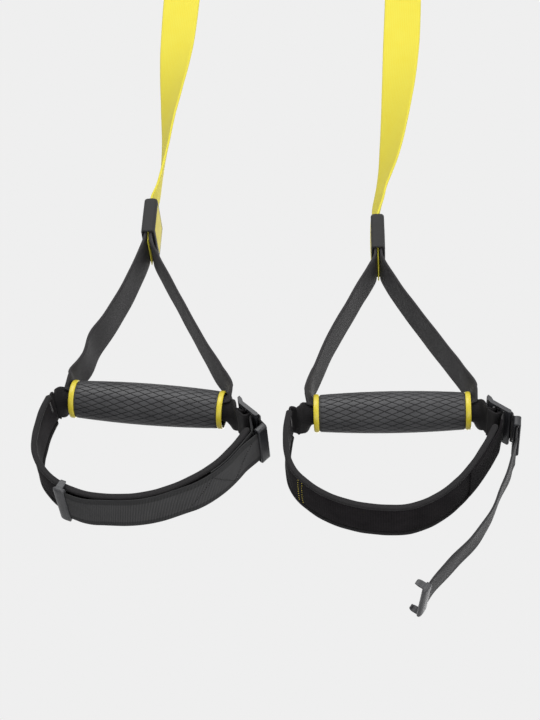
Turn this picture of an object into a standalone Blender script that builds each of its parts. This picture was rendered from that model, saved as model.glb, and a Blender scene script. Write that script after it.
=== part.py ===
"""Suspension trainer: two hanging handles with foot cradles, each on its own strap and carabiner.

X runs along the grips, Y away from the viewer and Z up. The origin is on the line the two
carabiners hang from, above the middle between the grips. Each body's nodes hang from an empty
on its joint.
"""

import bpy
import bmesh
from math import atan2, cos, degrees, pi, radians, sin
from mathutils import Matrix, Vector

# Fits
gap = 0.00035
hairline = 0.0003

# Webbing
strap_width = 0.038
strap_thickness = 0.0022
leg_thickness = 0.0024
cradle_thickness = 0.0018
tail_thickness = 0.0016

# Carabiner
rod_radius = 0.0040
carabiner_width = 0.066
carabiner_reach = 0.096
carabiner_corner = 0.009
hinge_rise = 0.0155
hinge_drop = carabiner_reach - hinge_rise
nose_drop = carabiner_width / 2
gate_radius = 0.0036
gate_clearance = 0.0005
tongue_thickness = 0.0026
tongue_radius = 0.0031
rivet_radius = 0.0014
gate_lift = 0.0056
hinge_stub = 0.0030

# Strap loop
loop_overlap = 0.030
loop_tail_gap = 0.0004

# Strap sleeve
sleeve_height = 0.042
sleeve_margin = 0.00275
sleeve_depth = strap_width + 2 * sleeve_margin
sleeve_thickness = 0.0124
sleeve_corner = 0.0017
sleeve_roof = 0.004
cavity_thickness = 0.0088
cavity_margin = 0.0007
cavity_depth = strap_width + 2 * cavity_margin
hinge_height = 0.0040
hinge_gap = 0.00045
strap_end_below = 0.0065
panel_border = 0.0028
panel_depth = sleeve_depth - 2 * panel_border
panel_height = sleeve_height - 2 * panel_border
panel_thickness = 0.0006
panel_recess = 0.0009

# Grip
grip_length = 0.134
grip_end_radius = 0.0160
grip_mid_radius = 0.0181
ring_radius = 0.01645
ring_width = 0.0046
tube_outer = 0.0150
tube_bore = 0.0130
diamonds_round = 15
diamonds_along = 7
groove_depth = 0.0006
groove_half_width = 0.0005
leg_roll_radius = 0.0115
cradle_roll_radius = 0.0085

# Foot cradle
cradle_drop = 0.110
pad_width = 0.0330
pad_thickness = 0.0042
binding_width = 0.0036
binding_thickness = 0.0054

# Buckle, keeper and clip
buckle_length = 0.0232
buckle_rail = 0.0032
window_slack = 0.0013
buckle_width = strap_width + 2 * (window_slack + buckle_rail)
buckle_thickness = 0.0034
buckle_angle = radians(-36.9)
buckle_reach = 0.0140
buckle_start = (grip_length / 2 + buckle_reach, -0.0050)
buckle_head = 0.0062
buckle_window = 0.0123
pin_place = 0.0113
pin_radius = 0.0019
pin_seat = 0.0022
tab_length = 0.0075
tab_lift = 0.0022
keeper_end = 0.0040
keeper_width = strap_width + 2 * keeper_end
keeper_depth = 0.0064
keeper_height = 0.0100
keeper_wall = 0.0020
clip_end = 0.0040
clip_width = strap_width + 2 * clip_end
clip_height = 0.0105
clip_depth = 0.0044
clip_lip = 0.0040
clip_wall = 0.0017
clip_share = 0.355
tail_hinge_gap = 0.0009

# Places that differ between the two handles, in real sizes
half_grip = grip_length / 2
sides = {
    "left": {
        "anchor_x": -0.092,
        "sleeve_x": -0.1095,
        "sleeve_drop": 0.4440,
        "sleeve_lean": radians(2.2),
        "grip_x": -0.1051,
        "grip_drop": 0.6686,
        "roll": radians(8.2),
        "yaw": radians(-4.0),
        "panel_side": 1,
        "strap_shares": [(0.0, 0.0), (0.26, 0.10), (0.40, 0.18), (0.62, 0.42), (0.85, 0.75), (1.0, 1.0)],
        "twist_shares": [(0.0, 0.0), (0.12, 0.04), (0.35, 0.22), (0.75, 0.78), (1.0, 1.0)],
        "leg_shares": (
            [(-0.364, 0.685), (-0.528, 0.531), (-0.746, 0.343)],
            [(0.267, 0.685), (0.455, 0.531), (0.692, 0.343)],
        ),
        "foot_shares": (0.885, 0.860),
        "flare_shares": (0.15, 0.55),
        "cradle_shares": [
            (-1.22, 0.11), (-1.261, 0.228), (-1.273, 0.4), (-1.248, 0.576), (-1.146, 0.723), (-0.863,
            0.887), (-0.476, 0.978), (-0.115, 0.987), (0.213, 0.958), (0.508, 0.889), (0.8, 0.777), (1.078,
            0.619), (1.29, 0.415), (1.395, 0.275),
        ],
        "buckle_shift": 0.0004,
        "keeper_place": (0.0234, 0.0312),
        "keeper_lean": radians(36),
        "keeper_travel": 0.004,
        "tail_shares": [],
    },
    "right": {
        "anchor_x": 0.142,
        "sleeve_x": 0.1008,
        "sleeve_drop": 0.4635,
        "sleeve_lean": radians(1.2),
        "grip_x": 0.1049,
        "grip_drop": 0.6769,
        "roll": radians(1.3),
        "yaw": radians(-3.5),
        "panel_side": -1,
        "strap_shares": [
            (0.0, 0.0), (0.07, 0.09), (0.24, 0.17), (0.38, 0.25), (0.70, 0.54), (0.92, 0.84), (1.0, 1.0),
        ],
        "twist_shares": [(0.0, 0.03), (0.045, 0.055), (0.175, 0.20), (0.5, 0.58), (0.8, 0.90), (1.0, 1.0)],
        "leg_shares": (
            [(-0.348, 0.778), (-0.546, 0.614), (-0.784, 0.414)],
            [(0.163, 0.778), (0.382, 0.614), (0.657, 0.414)],
        ),
        "foot_shares": (0.982, 0.890),
        "flare_shares": (0.65, 0.45),
        "cradle_shares": [
            (-1.30, 0.09), (-1.33, 0.20), (-1.34, 0.37), (-1.30, 0.55), (-1.20, 0.675),
            (-0.89, 0.850), (-0.53, 0.950), (-0.17, 0.992), (0.17, 0.99), (0.48, 0.915),
            (0.74, 0.79), (0.96, 0.63), (1.165, 0.42), (1.29, 0.262),
        ],
        "buckle_shift": -0.0002,
        "keeper_place": (0.0232, 0.0273),
        "keeper_lean": radians(6),
        "keeper_travel": 0.010,
        "tail_turn": radians(6.5),
        "tail_shares": [
            (1.505, 0.43), (1.455, 0.54), (1.375, 0.67), (1.265, 0.84), (1.175, 0.97),
            (1.065, 1.09), (0.905, 1.22), (0.74, 1.34), (0.58, 1.45), (0.455, 1.545), (0.37, 1.625),
        ],
    },
}

# Counts
pad_steps = 34
strap_steps = 22
tail_steps = 24
webbing_columns = 6

# Colours: red, green, blue, roughness, metallic
finishes = {
    "strap_webbing": (0.86, 0.74, 0.11, 0.75, 0.0),
    "black_webbing": (0.045, 0.043, 0.046, 0.85, 0.0),
    "moulded_rubber": (0.050, 0.050, 0.052, 0.60, 0.0),
    "grip_rubber": (0.070, 0.070, 0.074, 0.62, 0.0),
    "ring_plastic": (0.82, 0.66, 0.02, 0.40, 0.0),
    "black_plastic": (0.030, 0.031, 0.036, 0.42, 0.0),
    "pad_fabric": (0.020, 0.018, 0.021, 0.90, 0.0),
    "panel_fabric": (0.84, 0.72, 0.14, 0.70, 0.0),
    "steel": (0.55, 0.55, 0.57, 0.28, 1.0),
}


def clear_scene():
    for old in list(bpy.data.objects):
        bpy.data.objects.remove(old, do_unlink=True)


def make_collection(name):
    made = bpy.data.collections.new(name)
    bpy.context.scene.collection.children.link(made)
    return made


def make_materials():
    made = {}
    for name, (red, green, blue, roughness, metallic) in finishes.items():
        material = bpy.data.materials.new(name)
        material.use_nodes = True
        shader = material.node_tree.nodes["Principled BSDF"]
        shader.inputs["Base Color"].default_value = (red, green, blue, 1.0)
        shader.inputs["Roughness"].default_value = roughness
        shader.inputs["Metallic"].default_value = metallic
        made[name] = material
    return made


def add_object(name, mesh_or_curve, material, frame, collection):
    """Link a new object whose data is in frame's own coordinates."""
    made = bpy.data.objects.new(name, mesh_or_curve)
    collection.objects.link(made)
    if material:
        mesh_or_curve.materials.append(materials[material])
    made.matrix_world = frame
    return made


def add_body(name, frame, parent=None):
    """An empty on a joint's axis, which carries the body's nodes."""
    empty = bpy.data.objects.new(name, None)
    empty.empty_display_size = strap_width / 2
    parts.objects.link(empty)
    attach(empty, parent, frame)
    frames[name] = frame
    return empty


def attach(child, parent, world):
    if parent:
        child.parent = parent
        child.matrix_parent_inverse = frames[parent.name].inverted()
    child.matrix_basis = world


def node(name, mesh, material, body, world=None):
    """A visible sub-part, built in its body's frame or in the world frame given."""
    frame = world if world else frames[body.name]
    made = add_object(name, mesh, material, frame, parts)
    attach(made, body, frame)
    return made


def cutter(name, mesh, world):
    made = add_object(name, mesh, None, world, cutters)
    made.hide_render = True
    made.display_type = "WIRE"
    return made


def cut(target, tool, operation="DIFFERENCE"):
    boolean = target.modifiers.new(tool.name, "BOOLEAN")
    boolean.operation = operation
    boolean.solver = "EXACT"
    boolean.object = tool


def bevel(target, width, segments=2, angle=radians(40)):
    edge = target.modifiers.new("edges", "BEVEL")
    edge.width = width
    edge.segments = segments
    edge.limit_method = "ANGLE"
    edge.angle_limit = angle


def box_mesh(name, size, centre=(0, 0, 0)):
    mesh = bpy.data.meshes.new(name)
    form = bmesh.new()
    bmesh.ops.create_cube(form, size=1.0)
    bmesh.ops.scale(form, vec=size, verts=form.verts)
    bmesh.ops.translate(form, vec=centre, verts=form.verts)
    form.to_mesh(mesh)
    form.free()
    return mesh


def cell_mesh(name, breaks, solid):
    """The skin of the solid cells of a grid whose planes lie at the breaks along X, Y and Z."""
    counts = [len(axis) - 1 for axis in breaks]
    mesh = bpy.data.meshes.new(name)
    form = bmesh.new()
    corners = {}

    def corner(place):
        if place not in corners:
            corners[place] = form.verts.new([axis[i] for axis, i in zip(breaks, place)])
        return corners[place]

    def filled(cell):
        return all(0 <= i < count for i, count in zip(cell, counts)) and solid(*cell)

    for cell in [(x, y, z) for x in range(counts[0]) for y in range(counts[1]) for z in range(counts[2])]:
        for axis in range(3):
            for step in (0, 1):
                beyond = list(cell)
                beyond[axis] += 2 * step - 1
                if not filled(cell) or filled(tuple(beyond)):
                    continue
                ring = []
                for u, v in ((0, 0), (1, 0), (1, 1), (0, 1)):
                    place = list(cell)
                    place[axis] += step
                    place[(axis + 1) % 3] += u
                    place[(axis + 2) % 3] += v
                    ring.append(corner(tuple(place)))
                form.faces.new(ring if step else ring[::-1])
    form.to_mesh(mesh)
    form.free()
    return mesh


def slab_mesh(name, outline, width):
    """A closed XZ outline with a thickness along Y."""
    mesh = bpy.data.meshes.new(name)
    form = bmesh.new()
    face = form.faces.new([form.verts.new((x, -width / 2, z)) for x, z in outline])
    grown = bmesh.ops.extrude_face_region(form, geom=[face])["geom"]
    bmesh.ops.translate(form, vec=(0, width, 0), verts=[item for item in grown if isinstance(item, bmesh.types.BMVert)])
    bmesh.ops.recalc_face_normals(form, faces=form.faces)
    form.to_mesh(mesh)
    form.free()
    return mesh


def rod_mesh(name, radius, length, axis, centre=(0, 0, 0), steps=20):
    """A round bar along the X, Y or Z axis."""
    turn = {"X": Matrix.Rotation(pi / 2, 4, "Y"), "Y": Matrix.Rotation(pi / 2, 4, "X"), "Z": Matrix()}
    mesh = bpy.data.meshes.new(name)
    form = bmesh.new()
    bmesh.ops.create_cone(
        form, cap_ends=True, segments=steps, radius1=radius, radius2=radius, depth=length,
        matrix=Matrix.Translation(centre) @ turn[axis],
    )
    form.to_mesh(mesh)
    form.free()
    return mesh


def turned_mesh(name, profile, steps):
    """A closed profile of (x, radius) places turned round the X axis."""
    mesh = bpy.data.meshes.new(name)
    form = bmesh.new()
    rim = [form.verts.new((x, 0.0, radius)) for x, radius in profile]
    edges = [form.edges.new((rim[i], rim[(i + 1) % len(rim)])) for i in range(len(rim))]
    bmesh.ops.spin(
        form, geom=rim + edges, cent=(0, 0, 0), axis=(1, 0, 0), angle=2 * pi, steps=steps,
        use_merge=True, use_duplicate=False,
    )
    bmesh.ops.remove_doubles(form, verts=form.verts, dist=gap / 10)
    bmesh.ops.recalc_face_normals(form, faces=form.faces)
    form.to_mesh(mesh)
    form.free()
    return mesh


def curve_through(points, spacing):
    """A centripetal Catmull-Rom curve that keeps every point and fills the long stretches."""
    points = [Vector(point) for point in points]
    ends = [2 * points[0] - points[1]] + points + [2 * points[-1] - points[-2]]
    fine = []
    for a, b, c, d in zip(ends, ends[1:], ends[2:], ends[3:]):
        steps = max(1, round((c - b).length / spacing))
        knots = [0.0]
        for before, after in ((a, b), (b, c), (c, d)):
            knots.append(knots[-1] + (after - before).length ** 0.5)
        for step in range(steps):
            t = knots[1] + (knots[2] - knots[1]) * step / steps
            layer = [a, b, c, d]
            for reach in (1, 2, 3):
                layer = [blend(layer[i], layer[i + 1], knots, i, reach, t) for i in range(4 - reach)]
            fine.append(layer[0])
    fine.append(points[-1])
    return fine


def blend(first, second, knots, place, reach, t):
    """One step of the curve's pyramid; the last step reaches over the middle span alone."""
    low, high = (knots[1], knots[2]) if reach == 3 else (knots[place], knots[place + reach])
    return first.lerp(second, (t - low) / (high - low))


def smooth_path(points, count):
    """The curve through the points at count places equally far apart."""
    path = curve_through(points, strap_thickness)
    lengths = [0.0]
    for a, b in zip(path, path[1:]):
        lengths.append(lengths[-1] + (b - a).length)
    places = []
    reached = 0
    for step in range(count):
        wanted = lengths[-1] * step / (count - 1)
        while reached < len(path) - 2 and lengths[reached + 1] < wanted:
            reached += 1
        share = (wanted - lengths[reached]) / (lengths[reached + 1] - lengths[reached])
        places.append(path[reached].lerp(path[reached + 1], min(share, 1.0)))
    return places


def tangents(path):
    found = []
    for i in range(len(path)):
        found.append((path[min(i + 1, len(path) - 1)] - path[max(i - 1, 0)]).normalized())
    return found


def outward(tangent):
    """The side of an XZ path that lies to the right of its travel."""
    return Vector((tangent.z, 0.0, -tangent.x))


def beside(path, offset):
    """The path moved to its right by offset, a length or a function of the share travelled."""
    moved = []
    for i, (place, tangent) in enumerate(zip(path, tangents(path))):
        amount = offset(i / (len(path) - 1)) if callable(offset) else offset
        moved.append(place + outward(tangent) * amount)
    return moved


def ease(share):
    share = min(max(share, 0.0), 1.0)
    return share * share * (3 - 2 * share)


def flat_stations(path, side=Vector((0, 1, 0))):
    """Stations of a flat strip along an XZ path: place, width direction, hollow side, curl."""
    return [(place, side, outward(tangent), 0.0) for place, tangent in zip(path, tangents(path))]


def strip_mesh(name, stations, width, columns):
    """A sheet laid along its stations, curled round by each station's half angle."""
    rows = len(stations)
    mesh = bpy.data.meshes.new(name)
    form = bmesh.new()
    bmesh.ops.create_grid(form, x_segments=rows - 1, y_segments=columns, size=1.0)
    for vertex in form.verts:
        row = round((vertex.co.x + 1) / 2 * (rows - 1))
        across = vertex.co.y
        place, side, hollow, curl = stations[row]
        if curl < 0.02:
            vertex.co = place + side * (across * width / 2)
        else:
            radius = width / 2 / curl
            turn = across * curl
            vertex.co = place + side * (radius * sin(turn)) + hollow * (radius * (1 - cos(turn)))
    form.to_mesh(mesh)
    form.free()
    return mesh


def strip(name, stations, width, thickness, material, body, world=None, columns=1):
    made = node(name, strip_mesh(name, stations, width, columns), material, body, world)
    skin = made.modifiers.new("thickness", "SOLIDIFY")
    skin.thickness = thickness
    skin.offset = 0.0
    skin.use_even_offset = True
    return made


def carabiner(side, anchor):
    """A bent rod with its gate hung in a forked end."""
    half = carabiner_width / 2 - rod_radius
    crown = rod_radius - half
    base = rod_radius - carabiner_reach
    path = [Vector((half, 0, hinge_stub - hinge_drop))]
    for centre_x, start in ((half - carabiner_corner, 0), (carabiner_corner - half, -90)):
        for step in range(5):
            angle = radians(start - 22.5 * step)
            centre = Vector((centre_x, 0, base + carabiner_corner))
            path.append(centre + Vector((cos(angle), 0, sin(angle))) * carabiner_corner)
    for step in range(11):
        angle = radians(180 - 18 * step)
        path.append(Vector((half * cos(angle), 0, crown + half * sin(angle))))
    path.append(Vector((half, 0, -nose_drop)))

    body = bodies["anchor"]
    frame = node(side + "_carabiner_frame", tube_mesh(side + "_frame", path, rod_radius),
                 "steel", body, anchor)
    fork_height = 2 * (hinge_stub + tongue_radius + 2 * gap)
    fork = box_mesh("fork", (rod_radius * 3, tongue_thickness + 2 * gap, fork_height),
                    (half, 0, hinge_stub - hinge_drop))
    cut(frame, cutter(side + "_fork", fork, anchor))
    hinge = (half, 0, -hinge_drop)
    hole = rod_mesh("hole", rivet_radius + gap, rod_radius * 3, "Y", hinge, steps=14)
    cut(frame, cutter(side + "_rivet_hole", hole, anchor))
    node(side + "_gate_rivet", rod_mesh("rivet", rivet_radius, rod_radius * 1.9, "Y", hinge, steps=12),
         "steel", body, anchor)

    pivot = anchor @ Matrix.Translation(hinge)
    gate_body = add_body(side + "_gate_hinge", pivot, body)
    top = hinge_drop - nose_drop - gate_clearance
    gate = node(side + "_carabiner_gate",
                rod_mesh("gate", gate_radius, top - gate_lift, "Z", (0, 0, (top + gate_lift) / 2), 16),
                "steel", gate_body)
    heel = rod_mesh("heel", tongue_radius, tongue_thickness, "Y", steps=16)
    cut(gate, cutter(side + "_heel", heel, pivot), "UNION")
    neck = box_mesh("neck", (tongue_radius * 1.7, tongue_thickness, gate_lift * 1.2), (0, 0, gate_lift * 0.6))
    cut(gate, cutter(side + "_neck", neck, pivot), "UNION")
    eye = rod_mesh("eye", rivet_radius + gap, rod_radius * 3, "Y", steps=14)
    cut(gate, cutter(side + "_gate_eye", eye, pivot))


def tube_mesh(name, path, radius):
    """A capped tube along a path, as a mesh that modifiers can cut."""
    curve = bpy.data.curves.new(name, "CURVE")
    curve.dimensions = "3D"
    curve.bevel_depth = radius
    curve.bevel_resolution = 2
    curve.use_fill_caps = True
    spline = curve.splines.new("POLY")
    spline.points.add(len(path) - 1)
    for point, place in zip(spline.points, path):
        point.co = (*place, 1.0)
    holder = bpy.data.objects.new(name, curve)
    cutters.objects.link(holder)
    bpy.context.view_layer.update()
    mesh = bpy.data.meshes.new_from_object(holder.evaluated_get(bpy.context.evaluated_depsgraph_get()))
    bpy.data.objects.remove(holder)
    form = bmesh.new()
    form.from_mesh(mesh)
    bmesh.ops.remove_doubles(form, verts=form.verts, dist=gap / 10)
    bmesh.ops.recalc_face_normals(form, faces=form.faces)
    form.to_mesh(mesh)
    form.free()
    return mesh


def read_table(rows, place):
    """The table's value at a place, straight between its rows."""
    place = min(max(place, rows[0][0]), rows[-1][0])
    for (start, low), (end, high) in zip(rows, rows[1:]):
        if place <= end:
            return low + (high - low) * (place - start) / (end - start)
    return rows[-1][1]


def twist_direction(place, share):
    """The strap's width direction: along Y at the sleeve, along X at the carabiner."""
    turn = place["yaw"] + (pi / 2 + abs(place["yaw"])) * read_table(place["twist_shares"], share)
    return Vector((-sin(turn), cos(turn), 0.0))


def strap_stations(place):
    """The load strap: a twisting run up from the sleeve and a sewn loop round the carabiner."""
    start = Vector((place["sleeve_x"], 0, -place["sleeve_drop"] + hinge_height + hinge_gap))
    bar = Vector((place["anchor_x"], 0, rod_radius - carabiner_reach))
    loop_radius = rod_radius + gap + strap_thickness / 2
    fork = bar.z - loop_radius * 2
    span = Vector((place["anchor_x"] - place["sleeve_x"], 0, fork - start.z))
    points = [start + Vector((span.x * x, 0, span.z * z)) for x, z in place["strap_shares"]]
    run = fork - loop_overlap - start.z
    back = Vector((0, 1, 0))
    stations = []
    for spot in smooth_path(points, strap_steps):
        across = twist_direction(place, (spot.z - start.z) / run)
        lift = ease((spot.z - start.z - run) / loop_overlap)
        stations.append((spot - back * (loop_radius * lift), across, back, 0.0))
    across = twist_direction(place, 1.0)
    for step in range(1, 10):
        angle = pi - pi * step / 9
        ring = Vector((0, cos(angle), sin(angle))) * loop_radius
        stations.append((bar + ring, across, back, 0.0))
    beside_run = strap_thickness + loop_tail_gap
    for step in range(1, 7):
        share = step / 6
        down = bar.z - (bar.z - fork + loop_overlap) * share
        front = -loop_radius
        if down < fork:
            front *= ease((down - start.z - run) / loop_overlap)
        behind = max(front + beside_run, loop_radius * (1 - ease(share * 2.2)))
        stations.append((Vector((bar.x, behind, down)), across, back, 0.0))
    return stations


def main_strap(side, place):
    strip(side + "_main_strap", strap_stations(place), strap_width, strap_thickness, "strap_webbing",
          bodies[side + "_strap_swing"], Matrix())


def strap_sleeve(side, place, sleeve, body):
    """The moulded sleeve, a flat tube that gathers the strap's end and both legs."""
    case = node(side + "_strap_sleeve",
                box_mesh("sleeve", (sleeve_thickness, sleeve_depth, sleeve_height), (0, 0, -sleeve_height / 2)),
                "moulded_rubber", body, sleeve)
    bevel(case, sleeve_corner, 3)
    cavity_height = sleeve_height - sleeve_roof
    cavity = box_mesh("cavity", (cavity_thickness, cavity_depth, cavity_height * 2), (0, 0, -sleeve_height))
    cut(case, cutter(side + "_cavity", cavity, sleeve))
    slot = box_mesh("slot", (strap_thickness + 2 * gap, cavity_depth, sleeve_height))
    cut(case, cutter(side + "_strap_slot", slot, sleeve))
    outer = place["panel_side"] * sleeve_thickness / 2
    middle = -sleeve_height / 2
    recess = box_mesh("recess", (panel_recess * 2, panel_depth + 2 * gap, panel_height + 2 * gap),
                      (outer, 0, middle))
    cut(case, cutter(side + "_panel_recess", recess, sleeve))
    face = outer - place["panel_side"] * (panel_recess - hairline - panel_thickness / 2)
    panel = node(side + "_sleeve_panel",
                 box_mesh("panel", (panel_thickness, panel_depth, panel_height), (face, 0, middle)),
                 "panel_fabric", body, sleeve)
    bevel(panel, panel_thickness / 4, 1)

    low = -sleeve_height - strap_end_below
    top = hinge_height - hinge_gap
    path = [Vector((0, 0, top + (low - top) * step / 4)) for step in range(5)]
    strip(side + "_strap_end", flat_stations(path), strap_width, strap_thickness, "strap_webbing", body, sleeve)


def leg_end_stations(foot_share, flare_share):
    """From inside the grip out to the leg's foot: the strip leaves the bore and flattens upward."""
    rolled = degrees(strap_width / 2 / leg_roll_radius)
    table_shares = [
        # outward, up, lean in degrees, half curl in degrees
        (0.50, 0.0, 0, rolled), (0.998, 0.0, 0, rolled), (1.017, 0.06, 22, 90), (1.028, 0.20, 45, 72),
        (1.036, 0.42, 66, 52), (1.040, 0.70, 84, 33), (1.028, 1.25, 100, 17), (1.005, 1.85, 110, 6),
        (0.972, 2.40, 115, 0),
    ]
    top_share, foot_up = table_shares[-1][0], table_shares[-1][1]
    stations = []
    for out, up, lean, curl in table_shares:
        settled = ease(up / foot_up)
        out += (foot_share - top_share) * settled
        curl *= 1 - (1 - flare_share) * ease((up - table_shares[2][1]) * 7)
        spot = Vector((out * half_grip, 0, leg_roll_radius * (1 + up)))
        lean = radians(lean)
        stations.append((spot, Vector((0, 1, 0)), Vector((sin(lean), 0, -cos(lean))), radians(curl)))
    return stations


def mirrored(station):
    spot, across, hollow, curl = station
    flip = Vector((-1, 1, 1))
    return spot * flip, across, hollow * flip, curl


def placed(stations, matrix):
    turn = matrix.to_3x3()
    return [(matrix @ spot, turn @ across, turn @ hollow, curl) for spot, across, hollow, curl in stations]


def handle_stations(place, sleeve, grip):
    """One strip: down from the sleeve, through the grip, and back up into the sleeve."""
    layer = (strap_thickness + leg_thickness) / 2 + gap
    reach = place["grip_drop"] - place["sleeve_drop"] - sleeve_height
    across = grip.to_3x3() @ Vector((0, 1, 0))
    legs = []
    for hand, foot_share, flare_share, shares in zip(
            (-1, 1), place["foot_shares"], place["flare_shares"], place["leg_shares"]):
        ends = leg_end_stations(foot_share, flare_share)
        ends = [mirrored(station) for station in ends] if hand < 0 else ends
        ends = placed(ends, grip)
        top = sleeve @ Vector((hand * layer, 0, -sleeve_roof - gap * 3))
        mouth = sleeve @ Vector((hand * layer, 0, -sleeve_height))
        below = sleeve @ Vector((hand * layer * 1.12, 0, -sleeve_height - strap_end_below))
        run = [top, top.lerp(mouth, 0.5), mouth, below]
        run += [Vector((place["grip_x"] + x * half_grip, 0, z * reach - place["grip_drop"])) for x, z in shares]
        path = curve_through(run + [ends[-1][0]], strap_width * 0.6)[:-1]
        leg = [(spot, across, Vector((hand, 0, 0)), 0.0) for spot in path]
        legs.append(leg + ends[::-1])
    return legs[0] + legs[1][::-1]


def handle_webbing(side, place, sleeve, grip, body):
    strip(side + "_handle_webbing", handle_stations(place, sleeve, grip), strap_width, leg_thickness,
          "black_webbing", body, Matrix(), columns=webbing_columns)


def grip(side, frame, body):
    """A tube with its moulded sleeve of raised diamonds between two end rings."""
    half_rubber = half_grip - ring_width - hairline
    node(side + "_grip_tube", turned_mesh("tube", [
        (-half_grip + gap, tube_outer), (half_grip - gap, tube_outer),
        (half_grip - gap, tube_bore), (-half_grip + gap, tube_bore)], 28), "black_plastic", body)
    inner = tube_outer + hairline
    for name, hand in (("left", -1), ("right", 1)):
        start = half_rubber + hairline
        rim = ring_radius - inner
        profile = [(start, inner), (start, ring_radius - rim * 0.2), (start + ring_width * 0.25, ring_radius + 0.0001),
                   (start + ring_width * 0.65, ring_radius), (start + ring_width * 0.93, ring_radius - rim * 0.55),
                   (start + ring_width, inner)]
        profile = [(x * hand, radius) for x, radius in profile]
        node(side + "_grip_ring_" + name, turned_mesh("ring", profile, 26), "ring_plastic", body)
    rubber = node(side + "_grip_rubber", diamond_mesh("rubber", half_rubber), "grip_rubber", body)
    bore = rod_mesh("bore", inner, grip_length, "X", steps=24)
    cut(rubber, cutter(side + "_rubber_bore", bore, frame))


def diamond_mesh(name, half_length):
    """A barrel whose crossing helical grooves leave raised diamonds.

    A square net is wrapped on the barrel, each square is crossed by its diagonals, and the
    square's own edges are dissolved, which leaves the diamonds between the diagonals.
    """
    mesh = bpy.data.meshes.new(name)
    form = bmesh.new()
    bmesh.ops.create_grid(form, x_segments=diamonds_along, y_segments=diamonds_round, size=1.0)
    sides_of_net = list(form.edges)
    bmesh.ops.poke(form, faces=form.faces)
    inside = [edge for edge in sides_of_net if edge.is_valid and len(edge.link_faces) == 2]
    bmesh.ops.dissolve_edges(form, edges=inside, use_verts=False)
    diamonds = list(form.faces)
    step_x = 2 / diamonds_along
    step_y = 2 / diamonds_round
    stretch = step_y / step_x
    bmesh.ops.scale(form, vec=(stretch, 1, 1), verts=form.verts)
    bmesh.ops.inset_individual(form, faces=diamonds, thickness=step_y * 0.09, depth=0.0, use_even_offset=True)
    tops = {vertex for face in diamonds for vertex in face.verts}
    bmesh.ops.scale(form, vec=(1 / stretch, 1, 1), verts=form.verts)
    for vertex in form.verts:
        x, around = vertex.co.x, vertex.co.y * pi
        radius = grip_mid_radius - (grip_mid_radius - grip_end_radius) * x * x
        if vertex not in tops:
            radius -= groove_depth
        vertex.co = (x * half_length, radius * cos(around), radius * sin(around))
    bmesh.ops.remove_doubles(form, verts=form.verts, dist=groove_half_width / 20)
    rims = [edge for edge in form.edges if len(edge.link_faces) == 1]
    bmesh.ops.holes_fill(form, edges=rims, sides=0)
    bmesh.ops.recalc_face_normals(form, faces=form.faces)
    form.to_mesh(mesh)
    form.free()
    return mesh


def cradle_end_stations():
    """The cradle webbing from inside the grip outward: it lies in the bore's lower half, then flattens."""
    rolled = degrees(strap_width / 2 / cradle_roll_radius)
    table_shares = [
        # outward, drop over the roll radius, half curl in degrees
        (0.50, 1.0, rolled), (1.09, 1.0, rolled), (1.113, 1.02, 110), (1.135, 1.03, 88), (1.155, 1.04, 58),
        (1.175, 1.07, 28),
    ]
    return [(Vector((out * half_grip, 0, -drop * cradle_roll_radius)), Vector((0, 1, 0)),
             Vector((0, 0, 1)), radians(curl)) for out, drop, curl in table_shares]


def buckle_point(place, along, above):
    """A place on the buckle: along its plate from the head, above its middle plane."""
    start = Vector((buckle_start[0] + place["buckle_shift"], 0, buckle_start[1]))
    run = Vector((cos(buckle_angle), 0, sin(buckle_angle)))
    return start + run * along + Vector((-run.z, 0, run.x)) * above


def cradle_stations(place, pad_path):
    """One strip: from the pad's left end, through the grip, round the buckle's pin and back on itself."""
    right = cradle_end_stations()
    left = [mirrored(station) for station in right][::-1]
    start = pad_path[0]
    rise = (pad_path[0] - pad_path[1]).normalized()
    lead = [start + rise * (hairline * 2), start + rise * strap_thickness * 2, left[0][0]]
    head = flat_stations(smooth_path(lead, 5)[:-1])

    wrap = pin_radius + gap + cradle_thickness / 2
    under = -(buckle_thickness / 2 + 3 * gap + cradle_thickness / 2)
    second = under - cradle_thickness - gap
    inner = buckle_head * 0.65
    points = [(inner, under), (pin_place - wrap * 1.38, under + gap)]
    points += [(pin_place + wrap * cos(radians(a)), wrap * sin(radians(a))) for a in range(190, -11, -25)]
    points += [(pin_place + wrap * 0.8, under + gap), (pin_place + gap * 2, second),
               ((pin_place + inner) / 2, second), (inner, second)]
    loop = flat_stations([buckle_point(place, *point) for point in points])
    return head + left + right + loop


def cradle_webbing(side, place, pad_path, body):
    strip(side + "_cradle_webbing", cradle_stations(place, pad_path), strap_width, cradle_thickness,
          "black_webbing", body, columns=webbing_columns)


def cradle_pad(side, pad_path, body):
    """The padded band that takes the foot, with a bound edge along each side."""
    pad = strip(side + "_cradle_pad", flat_stations(pad_path), pad_width, pad_thickness, "pad_fabric", body, columns=2)
    pad.modifiers["thickness"].use_even_offset = True
    edge = (pad_width + binding_width) / 2 + hairline
    for name, hand in (("near", -1), ("far", 1)):
        moved = [spot + Vector((0, hand * edge, 0)) for spot in pad_path]
        strip(side + "_binding_" + name, flat_stations(moved), binding_width, binding_thickness,
              "black_webbing", body)


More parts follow.
